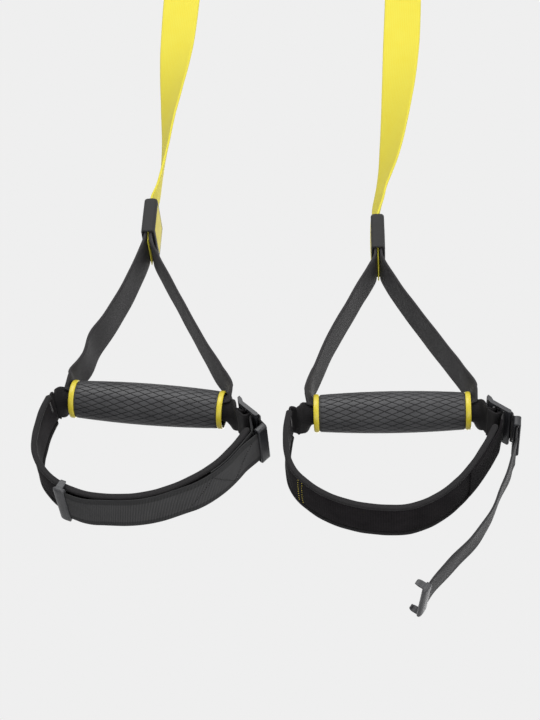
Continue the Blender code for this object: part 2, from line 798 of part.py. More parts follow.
def adjuster_path(side, place, pad_path):
    """The adjusting strap: up the outside of the pad, round the buckle's end bar and down again."""
    touch = binding_thickness / 2 + gap + tail_thickness / 2
    count = len(pad_path)
    sewn = int(count * 0.80)
    lower = beside(pad_path, touch)[sewn:]
    hug = buckle_thickness / 2 + gap + tail_thickness / 2
    window_end = buckle_head + buckle_window
    inner = window_end - gap - tail_thickness / 2
    outer = buckle_length + gap + tail_thickness / 2
    around = [(inner, -hug), (inner, hug * 0.6), (inner + gap, hug * 0.92), (window_end, hug + gap / 3),
              ((window_end + buckle_length) / 2, hug + gap / 2), (buckle_length - hug * 0.25, hug + gap / 2),
              (outer - gap, hug * 0.67), (outer + gap / 2, hug * 0.2)]
    over = [buckle_point(place, *point) for point in around]
    middle, up = keeper_axis(place)
    high, low = keeper_height * 0.58, keeper_height * 0.58 + place["keeper_travel"]
    down = [middle + up * (high - (high + low) * step / 6) for step in range(7)]
    return lower + over + down


def keeper_axis(place):
    """The keeper's middle, from the buckle's head and the grip's axis, and the way it slides."""
    beyond, below = place["keeper_place"]
    lean = place["keeper_lean"]
    return Vector((buckle_start[0] + beyond, 0, -below)), Vector((sin(lean), 0, cos(lean)))


def side_frames(place):
    """The frames of one handle: the sleeve's hinge, the sleeve and the grip."""
    yaw = Matrix.Rotation(place["yaw"], 4, "Z")
    hinge = Matrix.Translation((place["sleeve_x"], 0, -place["sleeve_drop"] + hinge_height)) @ yaw
    sleeve = hinge @ Matrix.Rotation(place["sleeve_lean"], 4, "Y") @ Matrix.Translation((0, 0, -hinge_height))
    grip_frame = Matrix.Translation((place["grip_x"], 0, -place["grip_drop"])) @ yaw
    return hinge, sleeve, grip_frame @ Matrix.Rotation(place["roll"], 4, "Y")


def pad_line(place):
    """The middle of the foot band, from its left end round to its right end."""
    return smooth_path([(x * half_grip, 0, -z * cradle_drop) for x, z in place["cradle_shares"]], pad_steps)


def straight_end(path):
    """The path with a straight stretch added for the tail clip."""
    return path + [path[-1] + (path[-1] - path[-2]).normalized() * (clip_height * 0.9)]


def stowed_path(pad_path):
    """The left tail, laid back along the outside of the band as far as its clip."""
    outer_skin = binding_thickness / 2 + gap + tail_thickness / 2
    over_layer = outer_skin + tail_thickness + gap
    clip_seat = binding_thickness / 2 + gap * 2 + clip_depth / 2

    def offset(share):
        along_band = outer_skin + (over_layer - outer_skin) * ease((share - 0.70) / 0.08)
        return max(along_band, clip_seat + (along_band - clip_seat) * ease((share - clip_share - 0.07) / 0.08))

    back = beside(pad_path, offset)
    return [back[i] for i in range(len(pad_path) - 3, int(len(pad_path) * clip_share), -1)]


def adjuster(side, place, pad_path, body):
    """The adjusting strap, with the stowed tail where the side has no free one. Returns its path."""
    path = adjuster_path(side, place, pad_path)
    if place["tail_shares"]:
        path = curve_through(path, strap_width / 6)
    else:
        path = straight_end(curve_through(path + stowed_path(pad_path), strap_width / 6))
    strip(side + "_adjuster_webbing", flat_stations(path), strap_width, tail_thickness, "black_webbing", body)
    return path


def tail_stations(place, start):
    """The free tail's hanging curve; its width turns a little past the first share of its run."""
    points = [start] + [Vector((x * half_grip, 0, -z * cradle_drop)) for x, z in place["tail_shares"]]
    path = straight_end(smooth_path(points, tail_steps))
    stations = []
    for i, (spot, side, hollow, curl) in enumerate(flat_stations(path)):
        turn = place["tail_turn"] * ease(i / len(path) * 3)
        stations.append((spot, side * cos(turn) + hollow * sin(turn), hollow, curl))
    return stations


def ladder_buckle(side, place, body, grip_frame):
    """A flat frame with a wide window, a lifted tab at its head and a steel pin across the window."""
    start = buckle_point(place, 0, 0)
    frame = grip_frame @ Matrix.Translation(start) @ Matrix.Rotation(-buckle_angle, 4, "Y")
    half = buckle_thickness / 2
    outline = [
        (0.0, -half * 0.2), (buckle_head * 0.55, -half), (buckle_length - half * 0.6, -half), (buckle_length, -half * 0.4),
        (buckle_length, half * 0.4), (buckle_length - half * 0.6, half), (buckle_head * 0.7, half),
        (buckle_head * 0.2, half + tab_lift * 0.8), (-tab_length * 0.3, half + tab_lift), (-tab_length * 0.3, half * 0.9),
    ]
    plate = node(side + "_ladder_buckle", slab_mesh("plate", outline, buckle_width), "black_plastic", body, frame)
    window = box_mesh("window", (buckle_window, strap_width + 0.0026, buckle_thickness * 4),
                      (buckle_head + buckle_window / 2, 0, 0))
    cut(plate, cutter(side + "_buckle_window", window, frame))
    seat_length = strap_width + (buckle_width - strap_width) * 0.55
    seat = rod_mesh("seat", pin_seat, seat_length + 2 * gap, "Y", (pin_place, 0, 0), steps=16)
    cut(plate, cutter(side + "_pin_seat", seat, frame))
    node(side + "_buckle_pin", rod_mesh("pin", pin_radius, seat_length, "Y", (pin_place, 0, 0), steps=16),
         "steel", body, frame)


def loop_keeper(side, place, body, frame):
    """A moulded loop that slides along the tail."""
    case = node(side + "_loop_keeper", box_mesh("keeper", (keeper_depth, keeper_width, keeper_height)),
                "black_plastic", body, frame)
    bevel(case, keeper_wall * 0.45, 2)
    room = keeper_width - 2 * keeper_wall * 1.1
    hole = box_mesh("passage", (tail_thickness + 2 * gap, room, keeper_height * 2))
    cut(case, cutter(side + "_keeper_passage", hole, frame))


def tail_clip(side, body, frame):
    """A channel pressed on the tail's end, with a lip at each end that hooks the band's edge."""
    half, end = clip_depth / 2, clip_width / 2
    slot, room = tail_thickness / 2 + gap, strap_width / 2 + gap
    across = [-half - clip_lip, -half, -slot, slot, half]
    along = [-end, clip_wall - end, -room, room, end - clip_wall, end]
    up = [-clip_height / 2, -clip_height / 4, clip_height / 2]

    def solid(x, y, z):
        if x == 0:
            return y in (0, len(along) - 2)
        return not (x == 2 and y == 2 and z == 1)

    case = node(side + "_tail_clip", cell_mesh("clip", (across, along, up), solid), "black_plastic", body, frame)
    bevel(case, (clip_depth / 2 - slot) * 0.45, 1)


def frame_along(spot, tangent, world):
    """A frame at an XZ place whose Z axis runs against the tangent."""
    lean = atan2(-tangent.x, -tangent.z)
    return world @ Matrix.Translation(spot) @ Matrix.Rotation(lean, 4, "Y")


def build_side(side, place):
    anchor = Matrix.Translation((place["anchor_x"], 0, 0))
    carabiner(side, anchor)
    bar = anchor @ Matrix.Translation((0, 0, rod_radius - carabiner_reach))
    swing = add_body(side + "_strap_swing", bar, bodies["anchor"])
    bodies[swing.name] = swing
    main_strap(side, place)

    hinge, sleeve, grip_frame = side_frames(place)
    handle = add_body(side + "_handle_swing", hinge, swing)
    strap_sleeve(side, place, sleeve, handle)
    handle_webbing(side, place, sleeve, grip_frame, handle)
    spin = add_body(side + "_grip_spin", grip_frame, handle)
    grip(side, grip_frame, spin)

    cradle = add_body(side + "_cradle_swing", grip_frame, handle)
    pad_path = pad_line(place)
    cradle_pad(side, pad_path, cradle)
    cradle_webbing(side, place, pad_path, cradle)
    ladder_buckle(side, place, cradle, grip_frame)
    middle, up = keeper_axis(place)
    keeper_frame = frame_along(middle, -up, grip_frame)
    keeper = add_body(side + "_keeper_slide", keeper_frame, cradle)
    loop_keeper(side, place, keeper, keeper_frame)
    path = adjuster(side, place, pad_path, cradle)
    if place["tail_shares"]:
        start = path[-1] - up * tail_hinge_gap
        tail_body = add_body(side + "_tail_swing", grip_frame @ Matrix.Translation(start), cradle)
        tail = tail_stations(place, start)
        strip(side + "_free_tail", tail, strap_width, tail_thickness, "black_webbing", tail_body, grip_frame)
        turned = Matrix.Rotation(place["tail_turn"], 4, "Z")
        tail_clip(side, tail_body, clip_frame([station[0] for station in tail], grip_frame) @ turned)
    else:
        tail_clip(side, cradle, clip_frame(path, grip_frame))


def clip_frame(path, world):
    """The clip sits over the strap's last stretch, which ends on its slot's floor."""
    tangent = (path[-1] - path[-2]).normalized()
    return frame_along(path[-1] - tangent * (clip_height / 4 - hairline), tangent, world)


clear_scene()
parts = make_collection("suspension_trainer")
cutters = make_collection("cutters")
materials = make_materials()
frames = {}
bodies = {}
bodies["anchor"] = add_body("anchor", Matrix())
for side_name, side_place in sides.items():
    build_side(side_name, side_place)
bpy.context.view_layer.update()
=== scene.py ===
"""Looks of the suspension trainer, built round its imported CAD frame."""

from math import atan2, cos, degrees, pi, radians, sin

import bmesh
import bpy
import numpy as np
from mathutils import Matrix, Vector


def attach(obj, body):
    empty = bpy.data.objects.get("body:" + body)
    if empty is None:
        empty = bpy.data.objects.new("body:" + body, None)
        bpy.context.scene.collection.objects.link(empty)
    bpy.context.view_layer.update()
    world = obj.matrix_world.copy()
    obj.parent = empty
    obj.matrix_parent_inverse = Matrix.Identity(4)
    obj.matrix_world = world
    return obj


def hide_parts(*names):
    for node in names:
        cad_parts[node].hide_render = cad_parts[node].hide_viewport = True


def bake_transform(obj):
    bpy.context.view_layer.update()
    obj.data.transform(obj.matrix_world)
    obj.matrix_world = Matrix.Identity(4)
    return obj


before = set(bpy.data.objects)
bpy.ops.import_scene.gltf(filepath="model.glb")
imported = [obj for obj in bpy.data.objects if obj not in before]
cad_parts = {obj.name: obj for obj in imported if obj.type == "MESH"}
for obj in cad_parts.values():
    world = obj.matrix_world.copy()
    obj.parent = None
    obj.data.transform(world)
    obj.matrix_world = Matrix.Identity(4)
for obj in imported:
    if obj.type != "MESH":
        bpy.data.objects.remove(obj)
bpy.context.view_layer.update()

# Fits
gap = 0.00035
hairline = 0.0003

# Webbing
strap_width = 0.038
strap_thickness = 0.0022
leg_thickness = 0.0024
cradle_thickness = 0.0018
tail_thickness = 0.0016

# Carabiner and strap loop
rod_radius = 0.0040
carabiner_reach = 0.096
loop_overlap = 0.030
loop_tail_gap = 0.0004

# Strap sleeve
sleeve_height = 0.042
sleeve_margin = 0.00275
sleeve_depth = strap_width + 2 * sleeve_margin
sleeve_thickness = 0.0124
sleeve_roof = 0.004
sleeve_swell = 0.0005
sleeve_face = sleeve_thickness / 2 - sleeve_swell / 10
cavity_thickness = 0.0088
cavity_margin = 0.0007
cavity_depth = strap_width + 2 * cavity_margin
hinge_height = 0.0040
hinge_gap = 0.00045
strap_end_below = 0.0065
panel_border = 0.0028
panel_depth = sleeve_depth - 2 * panel_border
panel_height = sleeve_height - 2 * panel_border

# Grip
grip_length = 0.134
grip_end_radius = 0.0160
grip_mid_radius = 0.0181
ring_radius = 0.01645
ring_width = 0.0046
tube_outer = 0.0150
tube_bore = 0.0130
half_rubber = grip_length / 2 - ring_width - hairline
rubber_bore = tube_outer + hairline
diamonds_round = 21
diamonds_along = 9.5
leg_roll_radius = 0.0115
cradle_roll_radius = 0.0085

# Foot cradle
cradle_drop = 0.110
pad_width = 0.0330
pad_thickness = 0.0042
binding_width = 0.0036
binding_thickness = 0.0054

# Buckle, keeper and clip
buckle_length = 0.0232
buckle_thickness = 0.0034
buckle_angle = radians(-36.9)
buckle_reach = 0.0140
buckle_start = (grip_length / 2 + buckle_reach, -0.0050)
buckle_head = 0.0062
buckle_window = 0.0123
pin_place = 0.0113
pin_radius = 0.0019
keeper_end = 0.0040
keeper_width = strap_width + 2 * keeper_end
keeper_depth = 0.0064
keeper_height = 0.0100
keeper_wall = 0.0020
clip_end = 0.0040
clip_width = strap_width + 2 * clip_end
clip_height = 0.0105
clip_depth = 0.0044
clip_wall = 0.0017
clip_share = 0.355
tail_hinge_gap = 0.0009

# Places that differ between the two handles, in real sizes
half_grip = grip_length / 2
sides = {
    "left": {
        "anchor_x": -0.092,
        "sleeve_x": -0.1095,
        "sleeve_drop": 0.4440,
        "sleeve_lean": radians(2.2),
        "grip_x": -0.1051,
        "grip_drop": 0.6686,
        "roll": radians(8.2),
        "yaw": radians(-4.0),
        "panel_side": 1,
        "strap_shares": [(0.0, 0.0), (0.26, 0.10), (0.40, 0.18), (0.62, 0.42), (0.85, 0.75), (1.0, 1.0)],
        "twist_shares": [(0.0, 0.0), (0.12, 0.04), (0.35, 0.22), (0.75, 0.78), (1.0, 1.0)],
        "leg_shares": (
            [(-0.364, 0.685), (-0.528, 0.531), (-0.746, 0.343)],
            [(0.267, 0.685), (0.455, 0.531), (0.692, 0.343)],
        ),
        "foot_shares": (0.885, 0.860),
        "flare_shares": (0.15, 0.55),
        "cradle_shares": [
            (-1.22, 0.11), (-1.261, 0.228), (-1.273, 0.4), (-1.248, 0.576), (-1.146, 0.723),
            (-0.863, 0.887), (-0.476, 0.978), (-0.115, 0.987), (0.213, 0.958), (0.508, 0.889),
            (0.8, 0.777), (1.078, 0.619), (1.29, 0.415), (1.395, 0.275),
        ],
        "buckle_shift": 0.0004,
        "keeper_place": (0.0234, 0.0312),
        "keeper_lean": radians(36),
        "keeper_travel": 0.004,
        "tail_shares": [],
    },
    "right": {
        "anchor_x": 0.142,
        "sleeve_x": 0.1008,
        "sleeve_drop": 0.4635,
        "sleeve_lean": radians(1.2),
        "grip_x": 0.1049,
        "grip_drop": 0.6769,
        "roll": radians(1.3),
        "yaw": radians(-3.5),
        "panel_side": -1,
        "strap_shares": [
            (0.0, 0.0), (0.07, 0.09), (0.24, 0.17), (0.38, 0.25), (0.70, 0.54), (0.92, 0.84), (1.0, 1.0),
        ],
        "twist_shares": [(0.0, 0.03), (0.045, 0.055), (0.175, 0.20), (0.5, 0.58), (0.8, 0.90), (1.0, 1.0)],
        "leg_shares": (
            [(-0.348, 0.778), (-0.546, 0.614), (-0.784, 0.414)],
            [(0.163, 0.778), (0.382, 0.614), (0.657, 0.414)],
        ),
        "foot_shares": (0.982, 0.890),
        "flare_shares": (0.65, 0.45),
        "cradle_shares": [
            (-1.30, 0.09), (-1.33, 0.20), (-1.34, 0.37), (-1.30, 0.55), (-1.20, 0.675),
            (-0.89, 0.850), (-0.53, 0.950), (-0.17, 0.992), (0.17, 0.99), (0.48, 0.915),
            (0.74, 0.79), (0.96, 0.63), (1.165, 0.42), (1.29, 0.262),
        ],
        "buckle_shift": -0.0002,
        "keeper_place": (0.0232, 0.0273),
        "keeper_lean": radians(6),
        "keeper_travel": 0.010,
        "tail_turn": radians(6.5),
        "tail_shares": [
            (1.505, 0.43), (1.455, 0.54), (1.375, 0.67), (1.265, 0.84), (1.175, 0.97),
            (1.065, 1.09), (0.905, 1.22), (0.74, 1.34), (0.58, 1.45), (0.455, 1.545), (0.37, 1.625),
        ],
    },
}

# What the photo shows beyond the CAD shapes: an earlier twist of the strap in degrees, where a leg of
# the handle webbing opens out (height, move, turn in degrees), the stretch of it that is evened out,
# and the rows of thread across the band (place, low end, high end)
details = {
    "left": {
        "early_twist": 6.0,
        "leg_easing": {
            -1: [(-0.590, 0.0, 0), (-0.604, -0.0022, 2), (-0.613, -0.0032, 4), (-0.622, -0.0018, 0),
                 (-0.631, -0.0020, -5), (-0.640, -0.0014, -4), (-0.649, 0.0, 0)],
            1: [(-0.600, 0.0, 0), (-0.613, -0.0010, 0), (-0.631, -0.0020, -4), (-0.640, -0.0022, -4),
                (-0.649, 0.0, 0)],
        },
        "leg_evening": (-0.646, -0.520, 0.018),
        "band_rows": [(0.0685, -0.0140, 0.0130)],
        "row_look": "grey_thread",
    },
    "right": {
        "early_twist": 9.0,
        "leg_easing": {},
        "leg_evening": None,
        "band_rows": [(0.0700, -0.0140, 0.0150), (0.0745, -0.0140, 0.0150)],
        "row_look": "yellow_thread",
    },
}

# Counts
pad_steps = 34
strap_steps = 22
strap_loop_steps = 9
strap_lap_steps = 6
tail_steps = 24

# Weave, shared by the shapes and the looks; the stored relief is in shares of relief_unit
weave_pitch = 0.0013
selvedge = 0.0034
relief_unit = 0.0002
tail_spacing = 0.00040

width_way = Vector((0, 1, 0))


def travelled(path):
    """How far along the path each of its places lies."""
    steps = np.linalg.norm(np.diff(np.array(path), axis=0), axis=1)
    return np.concatenate([[0.0], np.cumsum(steps)])


def spline_rows(rows, spacing):
    """Rows closer together on a centripetal Catmull-Rom curve; the first three columns are the place."""
    ends = np.vstack([2 * rows[0] - rows[1], rows, 2 * rows[-1] - rows[-2]])
    fine = []
    for corners in zip(ends, ends[1:], ends[2:], ends[3:]):
        lengths = np.maximum(np.linalg.norm(np.diff(corners, axis=0)[:, :3], axis=1), 1e-6)
        knots = np.concatenate([[0.0], np.cumsum(lengths ** 0.5)])
        steps = max(1, round(float(lengths[1]) / spacing))
        for step in range(steps):
            t = knots[1] + (knots[2] - knots[1]) * step / steps
            layer = corners
            for reach in (1, 2, 3):
                mixed = []
                for i in range(4 - reach):
                    low, high = (knots[1], knots[2]) if reach == 3 else (knots[i], knots[i + reach])
                    share = (t - low) / (high - low)
                    mixed.append(layer[i] * (1 - share) + layer[i + 1] * share)
                layer = mixed
            fine.append(layer[0])
    fine.append(ends[-2])
    return np.array(fine)


def curve_through(points, spacing):
    """The same curve through places alone."""
    return [Vector(row) for row in spline_rows(np.array([tuple(point) for point in points]), spacing)]


def smooth_path(points, count):
    """The curve through the points at count places equally far apart."""
    path = np.array(curve_through(points, strap_thickness))
    lengths = travelled(path)
    wanted = np.linspace(0.0, lengths[-1], count)
    return [Vector(spot) for spot in zip(*(np.interp(wanted, lengths, axis) for axis in path.T))]


def tangents(path):
    ends = [path[0], *path, path[-1]]
    return [(after - before).normalized() for before, after in zip(ends, ends[2:])]


def outward(tangent):
    """The side of an XZ path that lies to the right of its travel."""
    return Vector((tangent.z, 0.0, -tangent.x))


def beside(path, offset):
    """The path moved to its right by offset, a function of the share travelled."""
    last = len(path) - 1
    moved = []
    for i, (spot, ahead) in enumerate(zip(path, tangents(path))):
        moved.append(spot + outward(ahead) * offset(i / last))
    return moved


def ease(share):
    share = min(max(share, 0.0), 1.0)
    return share * share * (3 - 2 * share)


def flat_stations(path):
    """Stations of a flat strip along an XZ path: place, width direction, hollow side, curl."""
    return [(spot, width_way, outward(ahead), 0.0) for spot, ahead in zip(path, tangents(path))]


def twist_direction(place, share):
    """The strap's width direction: along Y at the sleeve, along X at the carabiner."""
    twisted = float(np.interp(share, *zip(*place["twist_shares"])))
    turn = place["yaw"] + (pi / 2 + abs(place["yaw"])) * twisted
    return Vector((-sin(turn), cos(turn), 0.0))


def strap_stations(place):
    """The load strap: a twisting run up from the sleeve and a sewn loop round the carabiner."""
    start = Vector((place["sleeve_x"], 0, -place["sleeve_drop"] + hinge_height + hinge_gap))
    bar = Vector((place["anchor_x"], 0, rod_radius - carabiner_reach))
    loop_radius = rod_radius + gap + strap_thickness / 2
    fork = bar.z - loop_radius * 2
    span = Vector((place["anchor_x"] - place["sleeve_x"], 0, fork - start.z))
    points = [start + Vector((span.x * x, 0, span.z * z)) for x, z in place["strap_shares"]]
    run = fork - loop_overlap - start.z
    stations = []
    for spot in smooth_path(points, strap_steps):
        across = twist_direction(place, (spot.z - start.z) / run)
        lift = ease((spot.z - start.z - run) / loop_overlap)
        stations.append((spot - width_way * (loop_radius * lift), across, width_way, 0.0))
    across = twist_direction(place, 1.0)
    for step in range(1, strap_loop_steps + 1):
        angle = pi - pi * step / strap_loop_steps
        ring = Vector((0, cos(angle), sin(angle))) * loop_radius
        stations.append((bar + ring, across, width_way, 0.0))
    for step in range(1, strap_lap_steps + 1):
        share = step / strap_lap_steps
        down = bar.z - (bar.z - fork + loop_overlap) * share
        front = -loop_radius
        if down < fork:
            front *= ease((down - start.z - run) / loop_overlap)
        behind = max(front + strap_thickness + loop_tail_gap, loop_radius * (1 - ease(share * 2.2)))
        stations.append((Vector((bar.x, behind, down)), across, width_way, 0.0))
    return stations


def leg_end_stations(foot_share, flare_share):
    """From inside the grip out to the leg's foot: the strip leaves the bore and flattens upward."""
    rolled = degrees(strap_width / 2 / leg_roll_radius)
    table_shares = [
        # outward, up, lean in degrees, half curl in degrees
        (0.50, 0.0, 0, rolled), (0.998, 0.0, 0, rolled), (1.017, 0.06, 22, 90), (1.028, 0.20, 45, 72),
        (1.036, 0.42, 66, 52), (1.040, 0.70, 84, 33), (1.028, 1.25, 100, 17), (1.005, 1.85, 110, 6),
        (0.972, 2.40, 115, 0),
    ]
    top_share, foot_up = table_shares[-1][:2]
    opening_up = table_shares[2][1]
    stations = []
    for out, up, lean, curl in table_shares:
        out += (foot_share - top_share) * ease(up / foot_up)
        curl *= 1 - (1 - flare_share) * ease((up - opening_up) * 7)
        spot = Vector((out * half_grip, 0, leg_roll_radius * (1 + up)))
        lean = radians(lean)
        stations.append((spot, width_way, Vector((sin(lean), 0, -cos(lean))), radians(curl)))
    return stations


def mirrored(station):
    spot, across, hollow, *curls = station
    flip = Vector((-1, 1, 1))
    return spot * flip, across, hollow * flip, *curls


def placed(stations, matrix):
    turn = matrix.to_3x3()
    return [(matrix @ spot, turn @ across, turn @ hollow, curl) for spot, across, hollow, curl in stations]


def handle_stations(place, sleeve, grip):
    """One strip: down from the sleeve, through the grip, and back up into the sleeve."""
    layer = (strap_thickness + leg_thickness) / 2 + gap
    reach = place["grip_drop"] - place["sleeve_drop"] - sleeve_height
    across = grip.to_3x3() @ width_way
    legs = []
    for hand, foot_share, flare_share, shares in zip(
            (-1, 1), place["foot_shares"], place["flare_shares"], place["leg_shares"]):
        ends = leg_end_stations(foot_share, flare_share)
        ends = placed([mirrored(station) for station in ends] if hand < 0 else ends, grip)
        top = sleeve @ Vector((hand * layer, 0, -sleeve_roof - gap * 3))
        mouth = sleeve @ Vector((hand * layer, 0, -sleeve_height))
        below = sleeve @ Vector((hand * layer * 1.12, 0, -sleeve_height - strap_end_below))
        run = [top, top.lerp(mouth, 0.5), mouth, below]
        for x, z in shares:
            run.append(Vector((place["grip_x"] + x * half_grip, 0, z * reach - place["grip_drop"])))
        path = curve_through(run + [ends[-1][0]], strap_width * 0.6)[:-1]
        leg = [(spot, across, Vector((hand, 0, 0)), 0.0) for spot in path]
        legs.append(leg + ends[::-1])
    return legs[0] + legs[1][::-1]


def hood_stations():
    """The cradle webbing from inside the grip outward: a hood whose far half opens first."""
    rolled = degrees(strap_width / 2 / cradle_roll_radius)
    table_shares = [
        # outward, drop over the roll radius, half curl and far half curl in degrees
        (0.50, 1.0, rolled, rolled), (1.025, 1.0, rolled, 116), (1.045, 1.0, 124, 84), (1.062, 1.0, 119, 54),
        (1.082, 1.0, 113, 32), (1.104, 1.01, 104, 19), (1.128, 1.03, 86, 13), (1.152, 1.04, 58, 12),
        (1.175, 1.07, 28, 12),
    ]
    return [(Vector((out * half_grip, 0, -drop * cradle_roll_radius)), width_way, Vector((0, 0, 1)),
             radians(curl), radians(far)) for out, drop, curl, far in table_shares]


def buckle_point(place, along, above):
    """A place on the buckle: along its plate from the head, above its middle plane."""
    start = Vector((buckle_start[0] + place["buckle_shift"], 0, buckle_start[1]))
    run = Vector((cos(buckle_angle), 0, sin(buckle_angle)))
    return start + run * along + Vector((-run.z, 0, run.x)) * above


def cradle_stations(place, pad_path):
    """One strip: from the pad's left end, through the grip, round the buckle's pin and back on itself."""
    right = hood_stations()
    left = [mirrored(station) for station in right][::-1]
    start = pad_path[0]
    rise = (pad_path[0] - pad_path[1]).normalized()
    lead = [start + rise * (hairline * 2), start + rise * strap_thickness * 2, left[0][0]]

    wrap = pin_radius + gap + cradle_thickness / 2
    under = -(buckle_thickness / 2 + 3 * gap + cradle_thickness / 2)
    second = under - cradle_thickness - gap
    inner = buckle_head * 0.65
    points = [(inner, under), (pin_place - wrap * 1.38, under + gap)]
    points += [(pin_place + wrap * cos(radians(a)), wrap * sin(radians(a))) for a in range(190, -11, -25)]
    points += [(pin_place + wrap * 0.8, under + gap), (pin_place + gap * 2, second),
               ((pin_place + inner) / 2, second), (inner, second)]

    head = flat_stations(smooth_path(lead, 5)[:-1])
    loop = flat_stations([buckle_point(place, *point) for point in points])
    head, loop = ([(*station, 0.0) for station in flat] for flat in (head, loop))
    return head + left + right + loop


def keeper_axis(place):
    """The keeper's middle, from the buckle's head and the grip's axis, and the way it slides."""
    beyond, below = place["keeper_place"]
    lean = place["keeper_lean"]
    return Vector((buckle_start[0] + beyond, 0, -below)), Vector((sin(lean), 0, cos(lean)))


def adjuster_path(place, pad_path):
    """The adjusting strap: up the outside of the pad, round the buckle's end bar and down again."""
    touch = binding_thickness / 2 + gap + tail_thickness / 2
    sewn = int(len(pad_path) * 0.80)
    lower = beside(pad_path, lambda share: touch)[sewn:]
    hug = buckle_thickness / 2 + gap + tail_thickness / 2
    window_end = buckle_head + buckle_window
    inner = window_end - gap - tail_thickness / 2
    outer = buckle_length + gap + tail_thickness / 2
    around = [(inner, -hug), (inner, hug * 0.6), (inner + gap, hug * 0.92), (window_end, hug + gap / 3),
              ((window_end + buckle_length) / 2, hug + gap / 2), (buckle_length - hug * 0.25, hug + gap / 2),
              (outer - gap, hug * 0.67), (outer + gap / 2, hug * 0.2)]
    over = [buckle_point(place, *point) for point in around]
    middle, up = keeper_axis(place)
    high, low = keeper_height * 0.58, keeper_height * 0.58 + place["keeper_travel"]
    down = [middle + up * (high - (high + low) * step / 6) for step in range(7)]
    return lower + over + down


def side_frames(place):
    """The frames of one handle's sleeve and grip."""
    yaw = Matrix.Rotation(place["yaw"], 4, "Z")
    hinge = Matrix.Translation((place["sleeve_x"], 0, -place["sleeve_drop"] + hinge_height)) @ yaw
    sleeve = Matrix.Rotation(place["sleeve_lean"], 4, "Y") @ Matrix.Translation((0, 0, -hinge_height))
    grip = Matrix.Translation((place["grip_x"], 0, -place["grip_drop"])) @ yaw
    return hinge @ sleeve, grip @ Matrix.Rotation(place["roll"], 4, "Y")


def pad_line(place):
    """The middle of the foot band, from its left end round to its right end."""
    return smooth_path([(x * half_grip, 0, -z * cradle_drop) for x, z in place["cradle_shares"]], pad_steps)


def straight_end(path):
    """The path with a straight stretch added for the tail clip."""
    return path + [path[-1] + (path[-1] - path[-2]).normalized() * (clip_height * 0.9)]


def stowed_path(pad_path):
    """The left tail, laid back along the outside of the band as far as its clip."""
    outer_skin = binding_thickness / 2 + gap + tail_thickness / 2
    over_layer = outer_skin + tail_thickness + gap
    clip_seat = binding_thickness / 2 + gap * 2 + clip_depth / 2
    change, layer_from, past_clip = 0.08, 0.70, 0.07

    def offset(share):
        band = outer_skin + (over_layer - outer_skin) * ease((share - layer_from) / change)
        return max(band, clip_seat + (band - clip_seat) * ease((share - clip_share - past_clip) / change))

    back = beside(pad_path, offset)
    return [back[i] for i in range(len(pad_path) - 3, int(len(pad_path) * clip_share), -1)]


def tail_stations(place, start):
    """The free tail's hanging curve; its width turns a little past the first share of its run."""
    points = [start] + [Vector((x * half_grip, 0, -z * cradle_drop)) for x, z in place["tail_shares"]]
    path = straight_end(smooth_path(points, tail_steps))
    stations = []
    for i, (spot, side, hollow, curl) in enumerate(flat_stations(path)):
        turn = place["tail_turn"] * ease(i / len(path) * 3)
        stations.append((spot, side * cos(turn) + hollow * sin(turn), hollow, curl))
    return stations


def frame_along(spot, tangent, world):
    """A frame at an XZ place whose Z axis runs against the tangent."""
    lean = atan2(-tangent.x, -tangent.z)
    return world @ Matrix.Translation(spot) @ Matrix.Rotation(lean, 4, "Y")


def clip_frame(path, world):
    """The clip sits over the strap's last stretch, which ends on its slot's floor."""
    tangent = (path[-1] - path[-2]).normalized()
    return frame_along(path[-1] - tangent * (clip_height / 4 - hairline), tangent, world)


# Mesh tools


def unit(rows):
    return rows / np.maximum(np.linalg.norm(rows, axis=-1, keepdims=True), 1e-12)


def in_scene(name, data):
    """An object for a mesh, a lamp or the camera."""
    made = bpy.data.objects.new(name, data)
    bpy.context.scene.collection.objects.link(made)
    return made


def new_object(name, verts, faces, look):
    mesh = bpy.data.meshes.new(name)
    mesh.from_pydata([tuple(v) for v in verts], [], faces)
    mesh.polygons.foreach_set("use_smooth", [True] * len(mesh.polygons))
    mesh.materials.append(looks[look])
    mesh.update()
    return in_scene(name, mesh)


def write_attribute(mesh, name, values):
    """Store a number or a vector for each vertex."""
    values = np.array(values, np.float32)
    kind, field = ("FLOAT_VECTOR", "vector") if values.ndim == 2 else ("FLOAT", "value")
    mesh.attributes.new(name, kind, "POINT").data.foreach_set(field, values.ravel())


def rework(mesh, change):
    """Run one change on the mesh through bmesh."""
    form = bmesh.new()
    form.from_mesh(mesh)
    change(form)
    form.to_mesh(mesh)
    form.free()


def face_outward(form):
    """Wind the faces of a closed mesh so that they all look out of it."""
    bmesh.ops.recalc_face_normals(form, faces=form.faces)
    if form.calc_volume(signed=True) < 0:
        bmesh.ops.reverse_faces(form, faces=form.faces)


def sharpen(form, angle):
    """Sharp edges where faces meet at more than the angle, so flats stay flat."""
    for edge in form.edges:
        edge.smooth = len(edge.link_faces) != 2 or edge.calc_face_angle() < radians(angle)


def smooth_by_angle(made, angle):
    rework(made.data, lambda form: sharpen(form, angle))
    return made


def settle(made, side, body, slot, *replaces):
    """Hang a finished piece on its body and hide the nodes of its side that it stands for."""
    if body:
        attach(made, f"{side}_{body}")
    if replaces:
        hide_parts(*[f"{side}_{node}" for node in replaces])


def even_out(rows, spacing, low, high, reach):
    """The rows with their bends evened out between two heights."""
    border = 0.012
    half = max(1, int(reach / spacing))
    kernel = np.hanning(2 * half + 3)[1:-1]
    wider = np.pad(rows, ((half, half), (0, 0)), mode="edge")
    smooth = np.stack([np.convolve(column, kernel / kernel.sum(), mode="valid") for column in wider.T], 1)
    height = rows[:, 2:3]
    share = np.clip((height - low) / border, 0, 1) * np.clip((high - height) / border, 0, 1)
    return rows * (1 - share) + smooth * share


